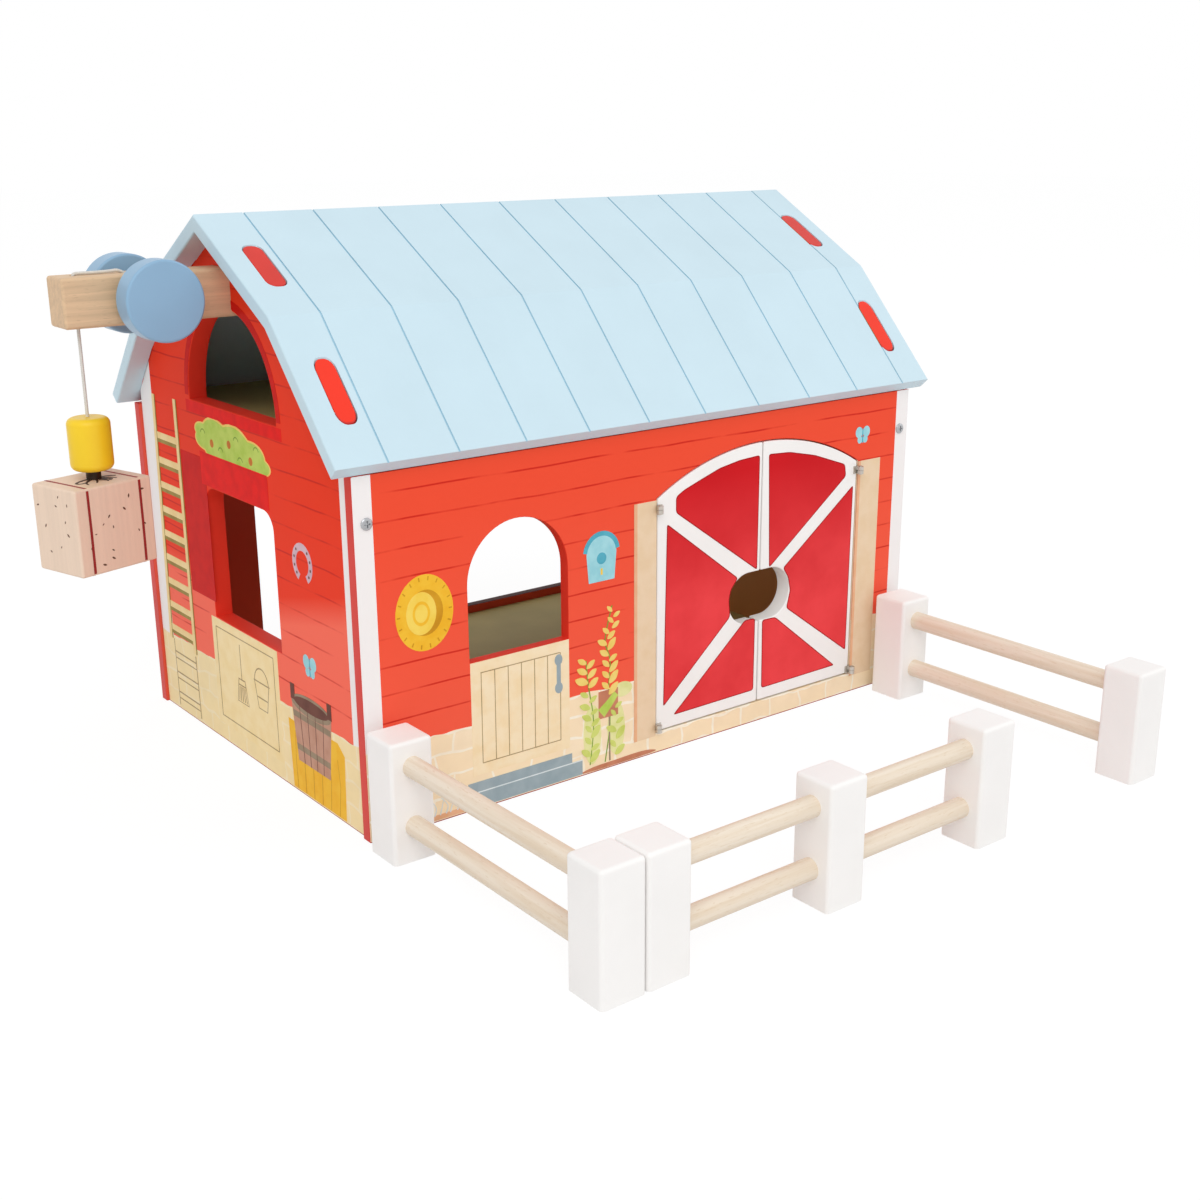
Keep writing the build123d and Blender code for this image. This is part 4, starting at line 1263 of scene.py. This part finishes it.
class BARN_OT_fences(bpy.types.Operator):
    """Build the posts and rails of the three fences"""
    bl_idname = "barn.fences"
    bl_label = "Fences"

    def execute(self, context):
        white = enamel("enamelled_beech_white", colours_now()["white"], 0.93)
        limed = (linear("#efe2d0"), linear("#dcc6a8"))
        along = beech("limed_beech_rails_long", 0, *limed)
        across = beech("limed_beech_rails_cross", 1, *limed)
        for name in frame["nodes"]:
            if "fence_post" in name:
                finished(name, [white])
            if "fence" in name and "_rail_" in name:
                finished(name, [along if name.startswith("front") else across])
        return {"FINISHED"}


class BARN_OT_front_print(bpy.types.Operator):
    """Print the front wall: door posts, half door, steps, vines and small motifs"""
    bl_idname = "barn.front_print"
    bl_label = "Front print"

    # Edges of the two posts beside the doorway, their foot and their top, in millimetres
    POSTS = ((-26.5, -8.6), (171.8, 193.7))
    POST_FOOT = 12.0
    POST_TOP = 169.0

    def vine(self, tree, leaf, name, stem, count, ink_name, lean, seed):
        """Leaves along a stem, whose line is drawn with the plant bed."""
        route = route_object(name + "_stem", [on_front(u, v, INK) for u, v in stem])
        leaves = grown(
            name, tree, Stem=route, Leaf=leaf, Count=count, Spread=0.95, Facing=(0.0, -1.0, 0.0), Lean=lean,
            Seed=seed, Material=ink_named(ink_name),
        )
        drop(route)
        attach(leaves, "barn")

    def execute(self, context):
        posts = []
        for u0, u1 in self.POSTS:
            posts.append(("post", [bar(u0, self.POST_FOOT, u1, self.POST_TOP)]))
            posts.append(("post_dark", [bar(u0, self.POST_FOOT, u0 + 2.6, self.POST_TOP)]))
        latch = [
            oval(-85.5, 81.5, 2.9, 3.6, 20), oval(-85.5, 63.5, 2.9, 3.6, 20), bar(-87.0, 63.5, -84.0, 81.5),
        ]
        steps = [
            ("slate", [bar(-153.0, 10.8, -76.0, 17.8), bar(-148.0, 1.4, -68.0, 10.8)]),
            ("slate_light", [stroke([(-148.0, 11.0), (-68.0, 11.0)], 0.8)]),
        ]
        shrubs = [oval(-41.0, 26.0, 7.0, 18.0), oval(-60.0, 26.0, 7.0, 20.0), oval(-36.0, 51.0, 8.0, 5.0)]
        stems = (
            [(-50, 5), (-46, 30), (-47, 53), (-45.7, 72.6), (-49.6, 86.6), (-44, 108)],
            [(-62, 6), (-59, 34), (-63, 60), (-64.6, 76)],
        )
        bed = [
            ("earth", [
                flowing([(-67.6, 1.4), (-12.5, 1.4), (-12.5, 3.6), (-24, 4.6), (-44, 4.2), (-60, 3.8)], 4),
            ]),
            ("leaf_light", shrubs),
            ("leaf_dark", [stroke(flowing(stem, 4, False), 0.8) for stem in stems]),
            ("bark", [stroke([(-46.2, 5.0), (-46.6, 36.0)], 1.1)]),
            ("earth", [bar(-55.0, 35.0, -39.5, 53.2)]),
            ("leaf", [stroke([(-53.0, 38.5), (-47.0, 43.5), (-41.0, 49.5)], 7.5, 4.5)]),
        ]
        for name, layers in (
            ("door_posts_print", posts),
            ("half_door_print", plank_door(-149.0, 22.0, -77.5, 93.0) + [("slate", latch)]),
            ("steps_print", steps),
            ("straw_coil_print", straw_coil(-178.0, 130.0, 19.0, 22.5)),
            ("nest_box_print", nest_box(-52.0, 125.0, 11.5, 29.0)),
            ("butterfly_print", butterfly(175.0, 187.0, 13.0)),
            ("plant_bed_print", bed),
        ):
            print_piece(name, on_front, layers)

        # Leaves lie over the rest of the front's print
        tree = vine_tree()
        outline = flowing([(0.0, 0.0), (2.2, 3.0), (2.4, 6.4), (0.2, 10.2), (-2.2, 6.6), (-1.9, 2.8)], 4)
        leaf = shape_object("leaf", outline, lambda u, v, h: Vector((u, -h, v)) * MM, INK * 3.5)
        tall = [(-47.0, 50.0), (-45.7, 72.6), (-49.6, 86.6), (-41.5, 96.0), (-44.0, 104.0)]
        leaves = context.scene.barn_sizes.vine_leaves
        for name, stem, count, ink_name, lean, seed in (
            ("tall_vine_leaves", tall, leaves, "leaf_yellow", 0.05, 4),
            ("low_vine_leaves", [(-62, 8), (-59, 34), (-63, 52)], 12, "leaf_pale", 0.0, 7),
            ("side_vine_leaves", [(-63, 58), (-64.5, 74)], 6, "leaf_yellow", 0.0, 5),
            ("bed_vine_leaves", [(-42, 8), (-40, 24), (-42, 40)], 7, "leaf_pale", 0.0, 9),
        ):
            self.vine(tree, leaf, name, stem, count, ink_name, lean, seed)
        drop(leaf)

        wisps = [
            stroke(flowing([(u, 4.0), (u + 1.5, 9.0), (u + lean, 15.0)], 3, False), 0.9, 0.3)
            for u, lean in ((-177, -2), (-173, 3), (-169, -3), (-166, 2), (-161, 4))
        ]
        ground = bar(-180.0, 1.4, -156.0, 4.6)
        print_piece("wisps_print", on_front, [("post_dark", [ground]), ("slate_light", wisps)])
        return {"FINISHED"}


class BARN_OT_gable_print(bpy.types.Operator):
    """Print the left gable: the ladder, the hedge, the surrounds of its openings with painted shade and a
    painted dark reflection, and small motifs
    """
    bl_idname = "barn.gable_print"
    bl_label = "Gable print"

    # The ladder in millimetres: its rails from the top down, their width and how far their dark edge lies
    # from their middle, the middle and the height of its highest rung, half a rung's length and thickness,
    # and how far each rung lies beside the one above it
    RAILS = (((119.6, 223.0), (122.2, 150.0), (125.8, 52.0)), ((85.0, 224.0), (85.4, 150.0), (86.2, 50.0)))
    RAIL_WIDTH = 4.2
    RAIL_EDGE = 2.4
    RUNG_MIDDLE = 103.0
    RUNG_TOP = 196.0
    RUNG_HALF = 18.5
    RUNG_THICK = 2.2
    RUNG_DRIFT = 0.4

    def ladder(self, sizes):
        """Rungs over their shadows, rails over the rungs, and a fainter foot that stands on the stones."""
        tree = row_tree()
        for name, down, ink_name, lift in (
            ("ladder_rung_shadows", 2.6, "ladder_dark", 2.0), ("ladder_rungs", 0.0, "ladder", 3.0),
        ):
            outline = bar(-self.RUNG_HALF, -self.RUNG_THICK - down, self.RUNG_HALF, self.RUNG_THICK - down)
            rung = shape_object("rung", outline, lambda u, v, h: Vector((-h, u, v)) * MM, INK * lift)
            rungs = grown(
                name, tree, Piece=rung, Count=sizes.rung_count,
                Start=tuple(on_left_gable(self.RUNG_MIDDLE, self.RUNG_TOP, 0.0)),
                Step=(0.0, self.RUNG_DRIFT * MM, -sizes.rung_spacing), Material=ink_named(ink_name),
            )
            drop(rung)
            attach(rungs, "barn")
        rails = [stroke(line, self.RAIL_WIDTH) for line in self.RAILS]
        edges = [stroke([(u - self.RAIL_EDGE, v) for u, v in line], 0.9) for line in self.RAILS]
        layers = [("ladder", rails), ("ladder_dark", edges)]
        print_piece("ladder_rails_print", on_left_gable, layers, lift=0.22)
        foot = [stroke([(121.5, 52.0), (121.0, 3.0)], 0.8), stroke([(86.5, 48.0), (85.5, 3.0)], 1.0)]
        for v in (43.0, 28.0, 13.0):
            foot += [stroke([(86.2, v), (121.2, v)], 0.9), stroke([(86.0, v - 4.6), (121.2, v - 4.6)], 0.7)]
        print_piece("ladder_foot_print", on_left_gable, [("board_line", foot)])

    def plain_door(self):
        """A closed hatch with a drawn frame, a pail and a broom."""
        frame_lines = (
            [(48, 80), (-34, 80)], [(-34, 80), (-34, 18)], [(48, 18), (48, 80)], [(-34, 18), (48, 18)],
        )
        pail = [
            [(-25.0, 58.0), (-21.0, 40.0), (-9.0, 40.0), (-5.0, 58.0)], [(-26.0, 58.0), (-4.0, 58.0)],
            [(-22.7, 47.5), (-7.3, 47.5)], arc(-15.0, 58.0, 9.6, 0, 180, 16),
        ]
        broom = [
            [(9.5, 52.0), (6.0, 36.0), (22.0, 36.0), (18.5, 52.0)], [(9.0, 52.0), (19.0, 52.0)],
            [(8.6, 48.0), (19.4, 48.0)], [(14.0, 52.0), (14.0, 76.0)],
            *([(14.0 + 0.9 * k, 47.0), (14.0 + 1.4 * k, 37.0)] for k in (-4, -2, 0, 2, 4)),
        ]
        drawn = [stroke(line, 0.9) for line in pail + broom] + [stroke(line, 0.6) for line in frame_lines]
        return [("cream_board", [bar(-40.0, 12.0, 54.0, 86.0)]), ("board_line", drawn)]

    def execute(self, context):
        # The ring round the loft window is printed; its deeper red is painted shade of the roof. The band of
        # that red beside the hatch is a painted dark reflection.
        ring = arc(0.0, 230.0, 66.0, 0, 180, 30) + arc(0.0, 230.0, 60.8, 180, 0, 30)
        print_piece("opening_surrounds_print", on_left_gable, [
            ("shade_red", [bar(44.5, 97.0, 81.5, 192.0), ring]),
            ("deep_red", [bar(-66.0, 219.5, 66.0, 227.0), bar(-43.7, 174.6, 50.8, 196.0)]),
        ])
        self.ladder(context.scene.barn_sizes)
        for name, layers, lift in (
            ("hedge_print", hedge(-48.0, 188.0, 56.0, 219.0), 0.0),
            ("horseshoe_print", horseshoe(-82.0, 151.0, 10.0), 0.0),
            ("gable_butterfly_print", butterfly(-83.0, 88.0, 15.0), 0.0),
            ("haystack_print", haystack(-120.0, -50.0, 52.0), 0.0),
            ("tub_print", tub(-106.0, 22.0, -56.0, 68.0), 0.08),
            ("gable_door_print", self.plain_door(), 0.0),
        ):
            print_piece(name, on_left_gable, layers, lift=lift)
        return {"FINISHED"}


class BARN_OT_rear_print(bpy.types.Operator):
    """Print the rear wall and the right gable with a few of the same motifs"""
    bl_idname = "barn.rear_print"
    bl_label = "Rear and right print"

    def execute(self, context):
        for name, place, layers in (
            ("rear_haystack_print", on_rear, haystack(150.0, 202.0, 46.0, 1.0)),
            ("rear_horseshoe_print", on_rear, horseshoe(176.0, 150.0, 10.0)),
            ("right_haystack_print", on_right_gable, haystack(56.0, 120.0, 50.0, 2.0)),
            ("right_tub_print", on_right_gable, tub(-104.0, 6.0, -60.0, 50.0)),
            ("right_half_door_print", on_right_gable, plank_door(-40.0, 6.0, 46.0, 120.0, planks=7)),
            ("right_horseshoe_print", on_right_gable, horseshoe(82.0, 150.0, 10.0)),
            ("right_hedge_print", on_right_gable, hedge(-50.0, 192.0, 50.0, 217.0)),
        ):
            print_piece(name, place, layers)
        return {"FINISHED"}


class BARN_OT_bale_print(bpy.types.Operator):
    """Print the hay bale: two bands of twine, a knot under the bead and flecks of chaff"""
    bl_idname = "barn.bale_print"
    bl_label = "Bale print"

    # The bale in millimetres, and its turn about the cord in degrees
    HALF = Vector((26.1, 19.7, 25.2))
    MIDDLE = Vector((-306.2, 0.0, 199.164 - 25.2))
    TURN = 16.4
    # Lines of the scribbled knot, in millimetres on the bale's top
    KNOT = (
        [(-1, -2), (-5, -4), (-9, -8), (-10.5, -12)],
        [(1, -3), (-1, -7), (-4.5, -11.5)],
        [(3, -3), (4, -8), (2.5, -12.5)],
        [(4, -2), (8, -5), (10.5, -9.5)],
        [(5, 0), (10, -1), (14, -4)],
        [(-2, 0), (-8, -1), (-13, -4), (-11, -7), (-5, -5)],
        [(3, -4), (7, -9), (4, -10.5), (1, -6)],
    )

    def face(self, out, across, up):
        """Place function for a face of the bale, whose directions are given as they are before its turn."""
        turn = Matrix.Rotation(radians(self.TURN), 3, "Z")
        out, across, up = (Vector(direction) for direction in (out, across, up))
        reach = abs(out.dot(self.HALF))

        def place(u, v, h):
            return (self.MIDDLE + turn @ (out * (reach + h) + across * u + up * v)) * MM

        return place

    def chaff(self, tree, fleck, number, place, half_width, half_height=21.0):
        """Flecks scattered over one side."""
        shape = bmesh.new()
        corners = bar(-half_width, -half_height, half_width, half_height)
        sheet = shape.faces.new([shape.verts.new(place(u, v, 0.0)) for u, v in corners])
        shape.normal_update()
        if sheet.normal.dot(place(0, 0, 1) - place(0, 0, 0)) < 0:
            sheet.normal_flip()
        surface = from_shape("bale_face", shape)
        flecks = grown(
            "chaff_%d" % number, tree, Surface=surface, Piece=fleck, Spacing=4.5 * MM, Density=9000.0,
            Seed=3 + number, Least=0.6, Most=1.15, Material=ink_named("chaff"),
        )
        drop(surface)
        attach(flecks, "bale")

    def execute(self, context):
        front, back = (self.face((0, side, 0), (1, 0, 0), (0, 0, 1)) for side in (-1, 1))
        left, right = (self.face((side, 0, 0), (0, 1, 0), (0, 0, 1)) for side in (-1, 1))
        top, under = (self.face((0, 0, side), (1, 0, 0), (0, 1, 0)) for side in (1, -1))
        for number, (place, reach) in enumerate(((front, 24.0), (back, 24.0), (top, 18.4), (under, 18.4))):
            twine = [stroke([(u, -reach), (u + 0.15, 0.0), (u, reach)], 1.7) for u in (-17.6, 17.8)]
            print_piece("twine_%d" % number, place, [("twine", twine)], "bale")
        knot = [stroke(flowing(line, 4, False), 1.9, 0.8) for line in self.KNOT]
        print_piece("knot_print", top, [("knot", knot)], "bale", lift=0.05)

        tree = scatter_tree()
        outline = flowing([(-1.2, 0.0), (0.0, 0.55), (1.3, 0.1), (0.0, -0.5)], 3)
        fleck = shape_object("fleck", outline, lambda u, v, h: Vector((u, v, h)) * MM, INK)
        for number, (place, reach) in enumerate(((front, 21.0), (back, 21.0), (left, 16.0), (right, 16.0))):
            self.chaff(tree, fleck, number, place, reach)
        drop(fleck)
        return {"FINISHED"}


class BARN_OT_stage(bpy.types.Operator):
    """Set the floor, the daylight, the lamps and the camera"""
    bl_idname = "barn.stage"
    bl_label = "Stage"

    # In metres: half the floor's width, and the width and places of the lamps and the point that they look at
    FLOOR_HALF = 9.0
    LAMP_WIDTH = 2.2
    KEY_PLACE = (-1.5, -2.1, 2.4)
    FILL_PLACE = (2.3, -1.2, 1.6)
    LIT_POINT = Vector((0, 0, 0.15))
    # The camera's place in metres and its turn in degrees, as solved from the straight edges in the photo
    CAMERA_PLACE = (-0.6035, -0.86, 0.3934)
    CAMERA_TURN = (72.688, 0.323, -37.833)

    def lamp(self, name, place, power):
        """A square soft lamp that points at the barn."""
        light = bpy.data.lights.new(name, "AREA")
        light.energy = power
        light.size = self.LAMP_WIDTH
        lamp = in_scene(name, light)
        lamp.location = place
        lamp.rotation_euler = (self.LIT_POINT - lamp.location).to_track_quat("-Z", "Y").to_euler()

    def seen(self, tree):
        """1 for rays that look, in a gloss or through a clear face too, and 0 for rays that gather light."""
        path = add(tree, "ShaderNodeLightPath")
        seen = add(tree, "ShaderNodeMath", {
            0: path.outputs["Is Camera Ray"], 1: path.outputs["Is Glossy Ray"],
        }, operation="MAXIMUM")
        return add(tree, "ShaderNodeMath", {
            0: seen, 1: path.outputs["Is Transmission Ray"],
        }, operation="MAXIMUM")

    def paper(self):
        """White paper, matt and evenly lit: it takes soft shadows and is bright where it is seen."""
        material = bpy.data.materials.new("matt_white_paper")
        material.use_nodes = True
        tree = material.node_tree
        tree.nodes.clear()
        paper = add(tree, "ShaderNodeBsdfDiffuse", {"Color": (0.82, 0.82, 0.82, 1.0)})
        glow = add(tree, "ShaderNodeEmission", {"Color": (1.0, 1.0, 1.0, 1.0), "Strength": 1.06})
        share = add(tree, "ShaderNodeMath", {0: self.seen(tree), 1: 0.86}, operation="MULTIPLY")
        mixed = add(tree, "ShaderNodeMixShader", {0: share, 1: paper, 2: glow})
        add(tree, "ShaderNodeOutputMaterial", {"Surface": mixed})
        return material

    def execute(self, context):
        stage = context.scene.barn_stage
        scene = context.scene
        scene.view_settings.view_transform = "Standard"

        shape = bmesh.new()
        bmesh.ops.create_grid(shape, x_segments=8, y_segments=8, size=self.FLOOR_HALF)
        from_shape("stage_floor", shape, [self.paper()])

        world = bpy.data.worlds.new("daylight")
        world.use_nodes = True
        tree = world.node_tree
        tree.nodes.clear()
        strength = add(tree, "ShaderNodeMapRange", {0: self.seen(tree), 3: stage.daylight, 4: 1.0})
        sky = add(tree, "ShaderNodeBackground", {"Color": (1.0, 1.0, 1.0, 1.0), "Strength": strength})
        add(tree, "ShaderNodeOutputWorld", {"Surface": sky})
        scene.world = world

        self.lamp("key_lamp", self.KEY_PLACE, stage.key)
        self.lamp("fill_lamp", self.FILL_PLACE, stage.fill)

        camera = bpy.data.cameras.new("camera")
        camera.lens = stage.lens
        camera.sensor_width = 36.0
        camera.clip_end = 50.0
        holder = in_scene("camera", camera)
        holder.location = self.CAMERA_PLACE
        holder.rotation_euler = [radians(angle) for angle in self.CAMERA_TURN]
        scene.camera = holder
        return {"FINISHED"}


class BARN_PT_panel(bpy.types.Panel):
    """Lists the barn's parts and their settings"""
    bl_idname = "BARN_PT_panel"
    bl_label = "Toy Barn"
    bl_space_type = "VIEW_3D"
    bl_region_type = "UI"
    bl_category = "Toy Barn"

    def draw(self, context):
        for operator in OPERATORS:
            self.layout.operator(operator.bl_idname)
        for owner in (context.scene.barn_colours, context.scene.barn_sizes, context.scene.barn_stage):
            for name in owner.__annotations__:
                self.layout.prop(owner, name)


OPERATORS = (
    BARN_OT_stage, BARN_OT_cords, BARN_OT_walls, BARN_OT_floors, BARN_OT_roof, BARN_OT_doors,
    BARN_OT_fittings, BARN_OT_hoist, BARN_OT_load, BARN_OT_fences, BARN_OT_front_print,
    BARN_OT_gable_print, BARN_OT_rear_print, BARN_OT_bale_print,
)
CLASSES = (BarnColours, BarnSizes, BarnStage, *OPERATORS, BARN_PT_panel)


def register():
    for cls in CLASSES:
        bpy.utils.register_class(cls)
    bpy.types.Scene.barn_colours = bpy.props.PointerProperty(type=BarnColours)
    bpy.types.Scene.barn_sizes = bpy.props.PointerProperty(type=BarnSizes)
    bpy.types.Scene.barn_stage = bpy.props.PointerProperty(type=BarnStage)


def unregister():
    del bpy.types.Scene.barn_stage
    del bpy.types.Scene.barn_sizes
    del bpy.types.Scene.barn_colours
    for cls in reversed(CLASSES):
        bpy.utils.unregister_class(cls)


def main():
    register()
    for operator in OPERATORS:
        group, action = operator.bl_idname.split(".")
        getattr(getattr(bpy.ops, group), action)()
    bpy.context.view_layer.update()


if __name__ == "__main__":
    main()
